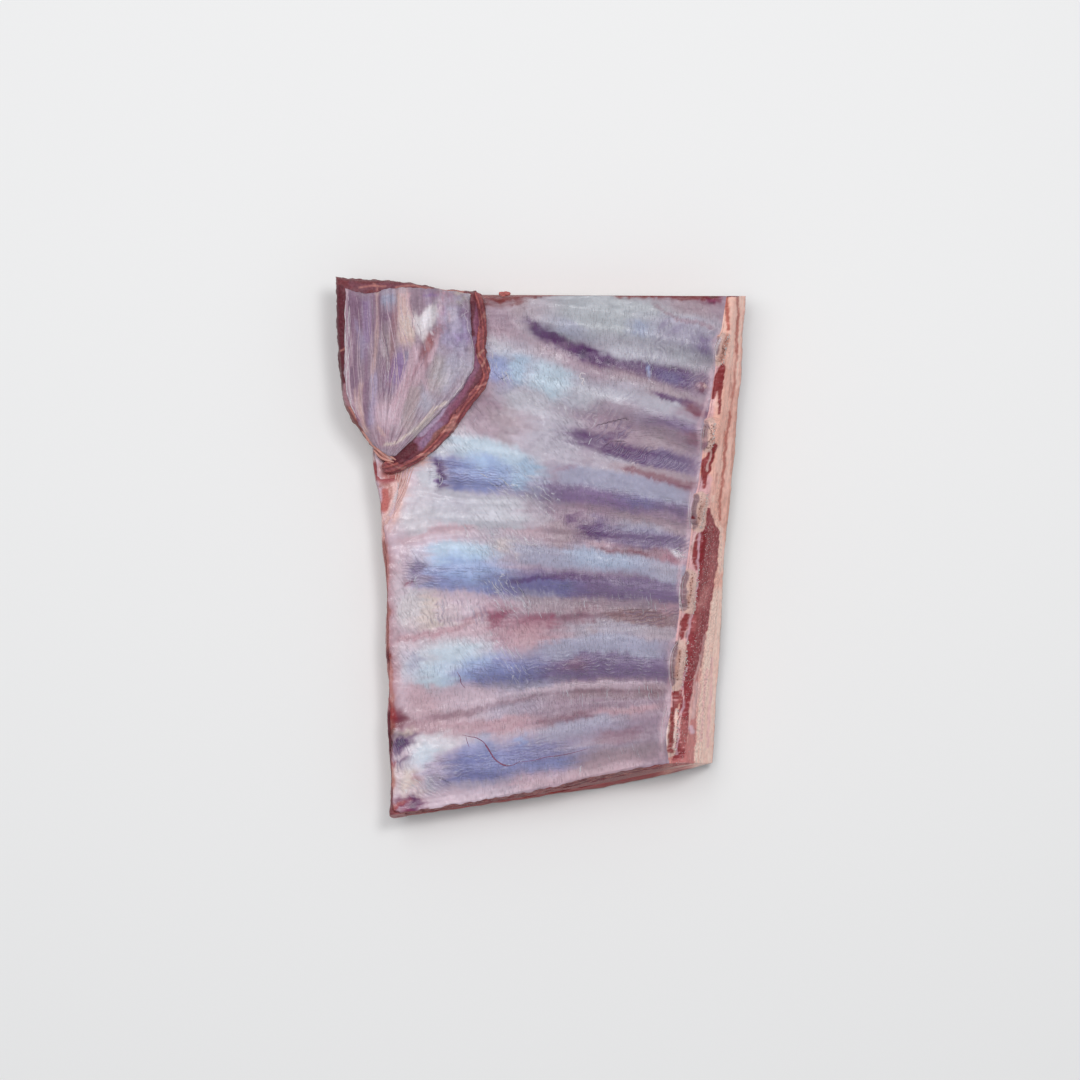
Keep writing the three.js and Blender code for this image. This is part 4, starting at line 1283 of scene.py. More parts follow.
def paintFat(a, b, c, x, y, z):
    px, py = toPhoto(x, y)
    tone = tones["fat"] * (1 + 0.07 * clouds(y, z, 6, 121))[:, None]
    tone = mix(tone, np.array(fat["tailTone"]), ease(0.35, 0.1, b)[:, None])
    sawn = sawnTone(px, py, y, z)
    under = mix(tone, tones["rose"], (0.75 * ease(0.15, 0.6, clouds(x, y * 0.6, 26, 125)))[:, None])
    under = mix(under, tones["cream"], (0.5 * ease(0.1, 0.5, clouds(x, y, 9, 127)))[:, None])
    # The tail side is made redder, its red raised: painted light against the shade that side lies in
    side = layeredMeat(x, 1.6 * z, 129) * np.where((b < 0.5)[:, None], [1.15, 0.55, 0.58], [0.95, 0.8, 0.82])
    side = mix(side, tone * np.array([0.8, 0.5, 0.5]), (0.3 * ease(0.35, 0.05, c) * (b < 0.5))[:, None])
    side = mix(side, tone, (0.6 * ease(0.5, 0.1, c) * (b > 0.5))[:, None])
    side = sawnCorner(side, sawn, px, b)
    tone = np.where(onFirst(c)[:, None], under, np.where(onLast(a)[:, None], sawn, side))
    return {"tone": tone, "grain": grainLayer(x, 0, ease(0.1, 0.3, tone[:, 1]))}


outerFat = shapeObject("outer_fat", cellBox(fat["cells"]), placeFat, paintFat, [cutFat])
standFor(outerFat, "fat", "fat_cap")


# The ribs: each a rounded bar whose sawn end stands in the cut
ribBar = {"cells": (30, 56, 30), "cover": 0.5, "deeper": 2.1, "halfDepth": 3.0, "proud": 0.14, "tip": 0.1,
          "tipSize": 0.45, "sawnWidth": 0.96, "steps": 4}


# The sawn face's x at a height, found by stepping v and w until they give that place
def sawnX(y, z):
    v, w = np.full_like(y, 0.5), np.full_like(y, 0.8)
    ones = np.ones_like(y)
    x, atY, atZ = slabPoint(ones, v, w)
    for _ in range(14):
        v = np.clip(v + (y - atY) / slab["length"], 0, 1)
        w = w + (z - atZ) / slab["tailThickness"]
        x, atY, atZ = slabPoint(ones, v, w)
    return x


def ribPlacer(rib):
    def place(a, b, c):
        p, q = 2 * b - 1, 2 * c - 1
        across, up = p * np.sqrt(1 - q * q / 2), q * np.sqrt(1 - p * p / 2)
        start, end = ribEnds(rib)
        tip = mix(ribBar["tipSize"], 1, np.sqrt(1 - (1 - np.minimum(1, a / ribBar["tip"])) ** 2))
        x = mix(start, end, a)
        narrow = mix(1, ribBar["sawnWidth"], ease(0.85, 1, a))
        for _ in range(ribBar["steps"]):
            y = ribY(rib, x) + across * ribHalfWidth(rib, x) * tip * narrow
            cover = ribBar["cover"] + ribBar["deeper"] * ease(0.97, 0.9, a)
            top = liningZ(x, y) - ridgeZ(x, y) + ridgeZ(x, ribY(rib, x)) - cover
            z = top + (up * tip - 1) * ribBar["halfDepth"]
            x = mix(start, sawnX(y, z), a)
        inner = ease(1.0, 0.75, np.hypot(across, up))
        pits = 0.2 * clouds(y, z, 0.8, 131) + 0.2 * ease(0.3, 0, np.abs(up + 0.1))
        return x + onLast(a) * (ribBar["proud"] - inner * pits), y, z

    return place


def paintRib(a, b, c, x, y, z):
    tone = sawnTone(*toPhoto(x, y), y, z)
    return {"tone": tone, "grain": grainLayer(x, 0.5, 0.3)}


for number, rib in enumerate(ribs, 1):
    bar = shapeObject(f"rib_bone_{number}", cellBox(ribBar["cells"]), ribPlacer(rib), paintRib, [cutBone])
    standFor(bar, "bone", f"rib_{number}")

# The split breastbone
sternum = {"cells": (12, 220, 12), "width": 0.052, "bare": 0.085, "proud": 0.009, "low": 2.4, "cover": 1.2,
           "rise": 0.5, "knots": 6, "bareFrom": 0.54, "bareTo": 0.66, "bareFade": 0.03, "knot": 0.004,
           "gain": 1.15, "heart": (0.44, 0.19, 0.18)}
sternumStrokes = [
    ("rose", 3, 4, 0.6, (384, 536, 389, 570, 391, 640, 393, 700)),
    ("brick", 2, 2.5, 0.8, (381, 530, 386, 560, 388, 600, 389, 650, 390, 700)),
    ("heme", (1, 3), 2, 0.8, (388, 690, 390, 704, 391, 720)),
    ("maroon", 1.6, 2, 0.7, (387, 652, 388, 660)),
    ("maroon", 3, 2.5, 0.95, (389, 716, 391, 732, 390, 748)),
    ("red", 2.5, 2.5, 0.8, (390, 756, 391, 784, 391, 812)),
    ("peach", 7, 5, 0.95, (381, 470, 392, 482, 398, 500, 390, 520, 384, 530)),
    ("blood", (2.4, 3.2), 2.4, 1, (385, 491, 386, 500, 384, 508)),
    ("brick", 0.8, 1.6, 0.7, (380, 486, 387, 485, 391, 489, 391, 498)),
    ("heme", 5, 4, 1, (376, 468, 386, 475, 398, 471)),
    ("heme", 2, 3, 0.8, (378, 478, 386, 481, 395, 477)),
    ("shell", 0.8, 1.5, 0.8, (402, 474, 398, 490, 392, 506, 386, 522)),
    ("petal", 0.6, 1.5, 0.8, (406, 470, 402, 486, 396, 504, 388, 520)),
    ("lard", 0.8, 1.5, 0.6, (401, 478, 398, 490, 394, 502)),
]


def placeSternum(a, b, c):
    bare = ease(sternum["bareFrom"], sternum["bareFrom"] + sternum["bareFade"], b)
    bare = bare * (1 - ease(sternum["bareTo"] - sternum["bareFade"], sternum["bareTo"], b))
    knot = sternum["knot"] * np.cos(2 * np.pi * sternum["knots"] * b)
    taper = ease(sternum["bareFrom"], sternum["bareTo"] - 0.02, b)
    taper = taper + 0.12 * clouds(b * slab["length"], c, 6, 157)
    left, right = -sternum["proud"] - knot, mix(sternum["width"], sternum["bare"], bare * taper) + knot
    low = sternum["low"] / slab["sternumThickness"]
    high = 1 - mix(sternum["cover"], -sternum["rise"], bare) / slab["sternumThickness"]
    x, y, z = slabPoint(mix(left, right, a), b, mix(low, high, c))
    rounding = ease(0, 0.25, np.minimum(c, 1 - c)) * ease(0, 0.12, a)
    lumps = 0.25 * clouds(y, z, 5, 151) + 0.1 * cloud(y, z, 1.2, 153)
    y = y + 0.35 * np.sign(b - 0.5) * onEnds(b)
    z = z + onLast(c) * 0.3 * rounding * clouds(x, y, 2, 155)
    return x + onFirst(a) * (0.7 * (1 - ease(0, 0.3, np.minimum(c, 1 - c))) - lumps), y, z


def paintSternum(a, b, c, x, y, z):
    px, py = toPhoto(x, y)
    blocks = np.cos(2 * np.pi * sternum["knots"] * b)
    heart = ease(-0.1, -0.7, blocks + 0.3 * clouds(y, z, 4, 161)) * ease(0.05, 0.3, np.minimum(c, 1 - c))
    tone = mix(tones["pink"], np.array(sternum["heart"]), heart[:, None])
    tone = mix(tone, tones["cream"], (ease(0.4, 0.9, blocks) * 0.7)[:, None])
    tone = mix(tone, tones["coral"], (0.4 * ease(0.2, 0.7, clouds(y, z, 3, 163)))[:, None])
    tone = mix(tone, tones["heme"], (0.9 * ease(0.03, 0.01, b))[:, None])
    tone = mix(tone, tones["red"] * 1.5, (0.85 * ease(0.96, 0.985, b))[:, None])
    painted = tone.copy()
    paintStrokes(painted, px, py, sternumStrokes)
    painted = painted * sternum["gain"]
    return {"tone": mix(tone, painted, (ease(452, 458, py) * ease(0.4, 0.6, c))[:, None])}


breastbone = shapeObject("split_breastbone", cellBox(sternum["cells"]), placeSternum, paintSternum, [cutBone])
standFor(breastbone, "marrow_bone", "breastbone")

# The skirt, folded over the head end of the sternum side. Its sides are in photo pixels.
skirt = {"cells": (130, 160, 8), "across": 46, "long": 56, "thickness": 4.6, "rim": 1.3, "roundOff": 4.5,
         "sideDroop": 0.28, "headDroop": 0.3, "ribs": 0.15, "sunk": 0.75}
skirtSide = {
    "tail": (343, 398, 352, 420, 362, 433, 372, 447, 382, 460, 396, 468),
    "head": (336, 277, 356, 280, 391, 281, 418, 284, 441, 289, 456, 290, 476, 292),
    "sternum": (343, 398, 341, 375, 339, 353, 337, 330, 337, 305, 336, 277),
    "sawn": (396, 468, 427, 452, 454, 422, 476, 390, 485, 372, 479, 354, 481, 324, 475, 292),
}
skin = {"cells": (150, 190, 4), "across": 42, "long": 52, "lift": 0.35, "thickness": 0.5,
        "ground": (0.36, 0.28, 0.34), "middle": (0.36, 0.29, 0.34), "contrast": 1.3,
        "lower": (0.02, 0.035, 0.035), "passes": [(2.4, 0.7), (1.3, 0.6)], "lace": 0.35}
skinSide = {
    "tail": (377, 448, 383, 452, 389, 455, 396, 456),
    "head": (346, 289, 362, 293, 376, 293, 391, 289, 412, 288, 440, 290, 471, 294),
    "sternum": (377, 448, 365, 433, 354, 413, 346, 392, 345, 358, 346, 323, 346, 289),
    "sawn": (396, 456, 419, 434, 445, 407, 467, 381, 475, 356, 471, 325, 471, 294),
}
millimetreSides = {}
for sidesName, sides in (("skirt", skirtSide), ("skin", skinSide)):
    millimetreSides[sidesName] = {side: [tuple(p) for p in fromPhoto(path)] for side, path in sides.items()}


def skirtUnder(x, y, ridges):
    v = np.clip((y - slab["tailY"]) / slab["length"], 0, 1)
    sideX = splinePoint(liningSide["sternum"], v)[..., 0]
    droop = skirt["sideDroop"] * np.maximum(0, sideX - x)
    droop = droop + skirt["headDroop"] * np.maximum(0, y - slab["headY"])
    return liningZ(x, y) - (1 - ridges) * ridgeZ(x, y) - droop


# Folds of the skirt: height in millimetres, half width, softness and path
skirtFolds = [
    (0.9, 2.5, 5, (375, 290, 378, 330, 384, 380, 388, 440)),
    (-0.6, 2, 4, (365, 295, 364, 340, 368, 400)),
    (0.8, 4, 5, (410, 292, 408, 330, 402, 360)),
    (-0.7, 3, 4, (396, 300, 396, 350, 392, 400)),
    (0.9, 6, 5, (428, 305, 420, 335)),
    (-0.8, 3, 4, (438, 308, 428, 345, 418, 380)),
    (0.8, 4, 5, (416, 350, 404, 390, 394, 430)),
    (0.6, 7, 6, (458, 310, 448, 350, 436, 385)),
    (-0.5, 2, 4, (352, 310, 353, 370, 362, 415)),
]


def skirtTop(x, y, edge):
    px, py = toPhoto(x, y)
    full = np.sqrt(1 - (1 - np.clip(edge / skirt["roundOff"], 0, 1)) ** 2)
    folds = np.zeros_like(x)
    for height, half, soft, path in skirtFolds:
        near, cover = brush(px, py, path, half, soft)
        folds[near] += height * cover
    folds = folds + 0.35 * clouds(x * 2.6 + 0.25 * y, y * 0.3, 4, 171)
    return skirtUnder(x, y, skirt["ribs"]) + mix(skirt["rim"], skirt["thickness"] + 0.55 * folds, full)


skirtStrokes = [
    ("maroon", 5, 4, 0.95, (337, 284, 338, 330, 341, 376)),
    ("maroon", 2, 2.5, 0.8, (343, 296, 344, 330, 345, 356, 344, 396)),
    ("red", 4, 4, 0.9, (338, 280, 380, 284, 440, 287, 474, 292)),
    ("wine", 2, 2.5, 0.6, (352, 284, 366, 287, 392, 287, 408, 288)),
    ("coral", 0.5, 1, 0.5, (360, 288, 372, 286, 386, 288)),
    ("coral", 0.5, 1, 0.5, (396, 287, 416, 286, 432, 288)),
    ("coral", 1.2, 1.6, 0.7, (440, 289, 452, 291, 462, 291)),
    ("coral", 0.4, 1, 0.5, (340, 351, 344, 349, 348, 345)),
    ("coral", 0.4, 1, 0.5, (374, 284, 377, 287, 378, 291)),
    ("heather", 5, 3, 0.95, (476, 310, 476, 350, 474, 362)),
    ("maroon", 1.6, 1.6, 0.9, (472, 304, 471, 322, 472, 334)),
    ("grape", 2, 2, 0.6, (477, 314, 478, 332, 476, 346)),
    ("violet", 2, 2, 0.5, (474, 340, 473, 350)),
    ("heather", 5, 3, 0.95, (474, 362, 466, 380, 452, 402, 438, 422, 420, 444)),
    ("violet", 1.6, 2.5, 0.6, (468, 374, 456, 392, 444, 408)),
    ("violet", 2, 2.5, 0.6, (440, 424, 430, 434, 422, 444)),
    ("grape", 1.2, 2, 0.6, (474, 378, 462, 394, 450, 414)),
    ("lavender", (1.6, 2.6), 2, 0.9, (446, 406, 438, 416, 430, 425, 420, 433)),
    ("rust", 1.2, 2, 0.8, (446, 426, 438, 433, 430, 443, 422, 453)),
    ("maroon", (3, 7), 2, 1, (397, 458, 403, 452, 410, 447)),
    ("maroon", 3, 2, 1, (404, 457, 410, 450)),
    ("lens", 4, 3, 0.8, (378, 456, 382, 464, 392, 468)),
    ("maroon", 1.6, 2, 0.8, (378, 462, 384, 464)),
    ("rust", 4, 4, 0.75, (350, 408, 366, 432, 380, 452)),
    ("coral", 0.7, 1, 0.6, (347, 404, 358, 422, 368, 438)),
    ("lens", 1, 1.2, 0.7, (345, 402, 352, 416, 362, 430)),
    ("sinew", 1.6, 2, 0.9, (346, 386, 346, 396, 349, 404)),
    ("coral", 1.2, 1.4, 0.8, (368, 438, 378, 450, 386, 458)),
    ("cream", 1.4, 1.4, 0.8, (374, 444, 384, 454, 391, 458)),
]
skinStrokes = [
    # Left: dark and lilac strands running down
    ("thistle", 12, 10, 0.8, (358, 300, 362, 360, 368, 410)),
    ("amethyst", (3, 4), 4, 0.85, (354, 292, 354, 312, 352, 345)),
    ("amethyst", 2.4, 3, 0.8, (352, 342, 354, 376, 358, 400)),
    ("violet", 2, 3, 0.7, (366, 300, 367, 322, 368, 345)),
    ("lavender", 1.6, 2.5, 0.6, (360, 336, 363, 348, 364, 362)),
    ("lavender", 1, 1.5, 0.6, (357, 322, 360, 336)),
    ("amethyst", 1.6, 2, 0.6, (361, 300, 361, 322, 362, 330)),
    ("petal", 0.8, 1.4, 0.75, (347, 290, 347, 340, 349, 380, 354, 408)),
    ("petal", 0.5, 1.2, 0.6, (350, 330, 352, 346, 352, 366)),
    ("shell", 0.8, 1.4, 0.7, (378, 288, 377, 296, 378, 318, 376, 346, 372, 376)),
    ("amethyst", 1.2, 1.6, 0.6, (374, 296, 374, 316, 373, 334)),
    ("amethyst", 0.6, 1.2, 0.7, (379, 296, 379, 318, 381, 340)),
    ("amethyst", 0.7, 1.5, 0.7, (366, 348, 366, 376, 363, 396)),
    ("amethyst", 1.4, 2, 0.7, (384, 356, 383, 380, 382, 398)),
    ("amethyst", 1.4, 2, 0.7, (368, 382, 366, 406, 370, 428)),
    ("lavender", 1.4, 2, 0.6, (374, 372, 374, 396, 372, 426)),
    ("shell", 1, 1.6, 0.8, (362, 384, 361, 402, 363, 420, 368, 434)),
    ("shell", 0.6, 1.2, 0.7, (356, 390, 357, 404, 361, 416)),
    ("bruise", 1.6, 2.5, 0.6, (350, 404, 356, 414, 362, 424)),
    # Middle: blue grey, then the cream band
    ("steel", 5, 3, 0.85, (388, 296, 391, 306)),
    ("amethyst", 2.6, 3, 0.75, (385, 312, 388, 324)),
    ("clay", 4, 4, 0.85, (388, 330, 389, 350, 388, 362)),
    ("thistle", 2, 3, 0.7, (382, 336, 382, 352)),
    ("sinew", 1.4, 1.8, 0.7, (396, 304, 394, 330, 393, 360, 390, 388)),
    ("shell", 5, 2, 0.95, (403, 293, 404, 318, 407, 344)),
    ("cream", 6, 2.5, 0.8, (406, 314, 407, 338)),
    ("rose", 0.6, 1, 0.7, (409, 297, 411, 312, 414, 330)),
    ("rose", 0.6, 1, 0.5, (400, 294, 406, 298, 412, 294)),
    ("thistle", 5, 3, 0.85, (420, 293, 419, 308)),
    ("violet", 5, 3, 0.85, (431, 293, 432, 298)),
    ("lard", (3.5, 6), 2, 1, (438, 304, 432, 314, 424, 324)),
    ("lard", (2.5, 4), 2, 1, (414, 316, 419, 326, 424, 334)),
    ("lard", (4, 1), 1.6, 0.95, (424, 332, 425, 342)),
    ("white", (2, 3.5), 3, 0.6, (436, 308, 428, 318, 424, 330)),
    ("rose", 4, 3, 0.85, (441, 295, 451, 297)),
    ("petal", 1.6, 2, 0.8, (442, 302, 441, 312, 442, 322)),
    ("rose", 1.6, 2, 0.7, (446, 306, 445, 318)),
    ("brick", 1.8, 2, 0.9, (431, 338, 428, 345, 425, 352)),
    ("sinew", (2.5, 5), 2.5, 0.95, (446, 324, 438, 334, 428, 346, 424, 360)),
    ("sinew", 2, 2.5, 0.8, (425, 352, 424, 366)),
    ("petal", 1.4, 1.6, 0.9, (438, 334, 436, 344, 431, 356, 428, 362)),
    # Right: translucent corner, lilac sheet
    ("lavender", 8, 6, 0.9, (454, 304, 456, 330, 452, 352)),
    ("lard", 2.5, 4, 0.5, (453, 308, 452, 326)),
    ("ash", 5, 3, 0.9, (462, 296, 465, 302)),
    ("amethyst", 3, 3, 0.95, (466, 308, 465, 321)),
    ("cream", 0.8, 1, 0.9, (456, 291, 468, 292, 472, 298, 474, 306)),
    ("violet", 4, 4, 0.6, (464, 330, 462, 348)),
    ("petal", 0.6, 1, 0.5, (450, 312, 448, 322)),
    ("haze", 9, 6, 0.8, (464, 356, 452, 376, 436, 394)),
    ("lard", 3, 4, 0.5, (446, 372, 438, 388)),
    ("thistle", 3, 3, 0.9, (464, 376, 458, 388, 446, 400)),
    ("ash", 3, 4, 0.6, (444, 352, 438, 366, 434, 384)),
    ("clay", 4, 3, 0.8, (432, 376, 434, 392)),
    ("petal", 1, 1.5, 0.5, (424, 378, 428, 392, 432, 404)),
    ("haze", 3.5, 3, 0.8, (424, 392, 428, 402, 420, 412)),
    # Below the middle: blue, pink strands, clay stripe, pale foot
    ("violet", 5, 3, 0.85, (403, 353, 399, 368, 393, 386)),
    ("lead", 1.2, 1.6, 0.7, (407, 350, 406, 362)),
    ("petal", (2.5, 4), 2.5, 0.95, (417, 346, 412, 362, 407, 380, 400, 400, 397, 412)),
    ("petal", 1.6, 2, 0.8, (421, 358, 421, 372, 414, 388)),
    ("rose", 0.5, 1, 0.6, (412, 366, 406, 382, 400, 396)),
    ("rose", 0.5, 1, 0.6, (418, 362, 414, 376, 408, 388)),
    ("clay", 4, 3, 0.9, (416, 386, 412, 402, 408, 420, 404, 432)),
    ("petal", (6, 9), 5, 0.95, (383, 402, 386, 416, 392, 430)),
    ("blush", 5, 4, 0.7, (384, 408, 388, 422)),
    ("thistle", 2, 2.5, 0.6, (380, 428, 388, 438, 398, 436)),
    ("rose", 5, 4, 0.5, (378, 436, 390, 442)),
    ("shell", 0.6, 1, 0.8, (378, 428, 383, 434, 386, 438)),
    ("cream", 0.5, 1, 0.85, (448, 402, 436, 410, 420, 425, 404, 437, 384, 447)),
    ("ash", (3, 4), 2, 0.8, (436, 416, 424, 428, 412, 436)),
]


# About how many millimetres a place on the skirt or its skin is from the nearest side
def sideDistance(a, b, piece):
    return np.minimum(np.minimum(a, 1 - a) * piece["across"], np.minimum(b, 1 - b) * piece["long"])


def placeSkirt(a, b, c):
    x, y = patchPoint(millimetreSides["skirt"], a, b)
    edge = sideDistance(a, b, skirt)
    ragged = (edge < 0.01) * 0.35
    x = x + ragged * clouds(y, c * 4, 2.4, 173)
    y = y + ragged * clouds(x, c * 4, 2.4, 175)
    top = skirtTop(x, y, edge) + 0.16 * clouds(x, y, 1.8, 177)
    return x, y, mix(skirtUnder(x, y, 1) - skirt["sunk"], top, c)


def paintSkirt(a, b, c, x, y, z):
    px, py = toPhoto(x, y)
    tone = mix(tones["red"], tones["wine"], (0.5 + 0.5 * clouds(x, y, 4, 179))[:, None])
    paintStrokes(tone, px + 1.5 * cloud(x, y, 3, 181), py + 1.5 * cloud(x, y, 3, 183), skirtStrokes)
    return {"tone": tone * np.array([1, 0.85, 0.85]), "grain": grainLayer(x, 0.2, 0.35)}


bm = cellBox(skirt["cells"])
thinHiddenFace(bm, 0)
skirtMeat = shapeObject("skirt_meat", bm, placeSkirt, paintSkirt, [cutMeat])
standFor(skirtMeat, "meat", "skirt_muscle")


# The skirt's surface at any place, by its distance from the four sides
def skirtHeight(x, y):
    edge = np.full(x.shape, 1e9)
    for side in ("tail", "sawn", "head", "sternum"):
        line = splinePoint(millimetreSides["skirt"][side], np.linspace(0, 1, 60))
        gaps = np.hypot(x[:, None] - line[None, :, 0], y[:, None] - line[None, :, 1])
        edge = np.minimum(edge, gaps.min(1))
    return skirtTop(x, y, edge)


def placeSkin(a, b, c):
    x, y = patchPoint(millimetreSides["skin"], a, b)
    edge = sideDistance(a, b, skin)
    frayed = (edge < 0.5) * 0.3
    x = x + frayed * clouds(y, x, 2, 191)
    y = y + frayed * clouds(x, y, 2, 193)
    ridges = 0.22 * clouds(a * 60 + 1.2 * cloud(x, y, 8, 195), b * 9, 1.6, 197) * ease(0, 3, edge)
    curl = 0.35 * (1 - ease(0, 1.6, edge)) * (0.5 + 0.5 * cloud(x, y, 5, 199))
    z = skirtHeight(x, y) + skin["lift"] + c * skin["thickness"] * ease(-0.3, 1, edge) + curl + c * ridges
    return x, y, z


def paintSkin(a, b, c, x, y, z):
    px, py = toPhoto(x, y)
    tone = np.array(skin["ground"]) * np.ones((len(x), 3))
    along = clouds(a * 70 + 1.5 * cloud(x, y, 9, 201), b * 10, 1.8, 203)
    wx, wy = px + 1.0 * clouds(x, y * 0.4, 3, 205), py + 2.0 * clouds(x, y, 4, 207)
    fibres = clouds(a * 90 + 1.6 * cloud(x, y, 8, 221), b * 8, 0.9, 223, 2)
    wy = wy + 1.4 * fibres
    for spread, share in skin["passes"]:
        paintStrokes(tone, wx, wy, skinStrokes, spread, share, 1)
    middle = np.array(skin["middle"])
    tone = middle + (tone - middle) * skin["contrast"] - np.array(skin["lower"])
    tone = np.clip(tone, 0.02, 1) * (1 + 0.13 * along + 0.12 * fibres)[:, None]
    tone = mix(tone, tones["milk"], (0.2 * ease(0.4, 0.9, along))[:, None])
    right = ease(424, 446, px)
    lace = ease(-0.05, 0.45, clouds(x + 0.5 * y, 0.7 * y, 1.5, 231, 3)) * right * ease(410, 380, py)
    tone = mix(tone, tones["lilac"] * 1.2, (skin["lace"] * lace)[:, None])
    tone = tone * (1 - 0.16 * ease(0.1, 0.6, clouds(x, 0.8 * y, 0.9, 235, 2)) * right)[:, None]
    return {"tone": tone, "grain": grainLayer(x, 0.4, 0.5)}


bm = cellBox(skin["cells"])
thinHiddenFace(bm, 0)
skirtSkin = shapeObject("skirt_skin", bm, placeSkin, paintSkin, [skirtFace])
standFor(skirtSkin, "silverskin", "skirt_silverskin")

# The skirt's torn edge: a twisted bundle of fibres
rope = {"cells": (300, 40), "radius": (1.5, 2.2), "length": 90, "core": 1.8, "turns": 4.4, "strands": 7,
        "lift": 1.5, "tall": 1.35, "strandTone": (0.4, 0.11, 0.1),
        "path": (475, 292, 479, 304, 481, 318, 481, 332, 479, 346, 480, 356, 484, 365, 485, 375,
                 480, 386, 470, 398, 459, 412, 449, 426, 438, 439, 425, 451, 410, 460, 394, 466,
                 382, 467)}


# How far the strands have turned round the bundle at a
def ropeTurn(a):
    return rope["turns"] * 2 * np.pi * a + 1.2 * clouds(a * rope["length"], a * 0, 9, 211)


def placeRope(a, b, c):
    path = fromPhoto(rope["path"])
    angle = 2 * np.pi * b
    middle = splinePoint(path, a)
    ahead = splinePoint(path, np.minimum(1, a + 0.004)) - splinePoint(path, np.maximum(0, a - 0.004))
    ahead = ahead / np.linalg.norm(ahead, axis=1)[:, None]
    along = a * rope["length"]
    radius = mix(*rope["radius"], 0.5 + 0.5 * cloud(along, a * 0, 12, 213))
    roundX, roundY = along + rope["core"] * np.cos(angle), rope["core"] * np.sin(angle)
    strands = 0.11 * np.cos(rope["strands"] * angle + ropeTurn(a))
    radius = radius * (1 + strands + 0.1 * clouds(roundX, roundY, 2.2, 215))
    radius = radius * (1 + 0.06 * cloud(roundX, roundY, 0.7, 216))
    radius = radius * (0.35 + 0.65 * ease(0, 0.03, np.minimum(a, 1 - a)))
    x = middle[:, 0] - ahead[:, 1] * np.cos(angle) * radius
    y = middle[:, 1] + ahead[:, 0] * np.cos(angle) * radius
    base = skirtUnder(middle[:, 0], middle[:, 1], skirt["ribs"]) + rope["lift"]
    return x, y, base + np.sin(angle) * radius * rope["tall"]


def paintRope(a, b, c, x, y, z):
    angle = 2 * np.pi * b
    strand = 0.5 + 0.5 * np.cos(rope["strands"] * angle + ropeTurn(a) + 0.6)
    tone = mix(tones["red"] * 1.3, np.array(rope["strandTone"]), (strand**2)[:, None])
    roundX, roundY = 60 * a + rope["core"] * np.cos(angle), rope["core"] * np.sin(angle)
    # Coral patches: painted highlights on the twisted strands
    paler = 0.6 * ease(0.25, 0.8, clouds(roundX, 2 * roundY, 2, 217))
    tone = mix(tone, tones["coral"], paler[:, None])
    tone = tone * (1 + 0.2 * cloud(roundX, 2 * roundY, 0.6, 218))[:, None]
    darker = 0.4 * ease(0.3, 0.8, clouds(roundX, roundY, 4, 219))
    return {"tone": mix(tone, tones["maroon"], darker[:, None])}


bm = bmesh.new()
bmesh.ops.create_grid(bm, x_segments=rope["cells"][0], y_segments=rope["cells"][1], size=0.5)
bmesh.ops.translate(bm, vec=(0.5, 0.5, 0), verts=bm.verts)
skirtRope = shapeObject("skirt_edge", bm, placeRope, paintRope, [cutMeat])
ropeMesh = bmesh.new()
ropeMesh.from_mesh(skirtRope.data)
bmesh.ops.remove_doubles(ropeMesh, verts=ropeMesh.verts, dist=1e-6)
bmesh.ops.holes_fill(ropeMesh, edges=ropeMesh.edges, sides=0)
bmesh.ops.recalc_face_normals(ropeMesh, faces=ropeMesh.faces)
ropeMesh.to_mesh(skirtRope.data)
ropeMesh.free()
standFor(skirtRope, "meat")


def liningHeight(x, y):
    return liningZ(x, y) + liningLift(x, y)


# Fine strands, as tapered tubes on the surface
def tubes(name, lines, material, tone, slot):
    curve = bpy.data.curves.new(name, "CURVE")
    curve.dimensions = "3D"
    curve.bevel_depth = mm
    curve.bevel_resolution = 1
    curve.use_fill_caps = True
    for points, radii in lines:
        spline = curve.splines.new("POLY")
        spline.points.add(len(points) - 1)
        for point, place, radius in zip(spline.points, points, radii):
            point.co = (*[p * mm for p in place], 1)
            point.radius = radius
    holder = newObject(name + "_curve", curve)
    bpy.context.view_layer.update()
    mesh = bpy.data.meshes.new_from_object(holder)
    bpy.data.objects.remove(holder)
    mesh.name = name
    addColors(mesh, "tone", tones[tone])
    mesh.materials.clear()
    mesh.materials.append(material)
    standFor(newObject(name, mesh), slot)


def surfaceLine(path, radius, height, sink=0.3, steps=4):
    line = fromPhoto(path)
    line = alongPath(line, np.linspace(0, 1, steps * (len(line) - 1) + 1))
    along = np.linspace(0, 1, len(line))
    radii = radius * (0.25 + 0.75 * np.sin(np.pi * np.clip(along, 0.02, 0.98)) ** 0.5)
    z = height(line[:, 0], line[:, 1]) + radii * (0.5 - sink)
    return np.stack([line[:, 0], line[:, 1], z], 1), radii


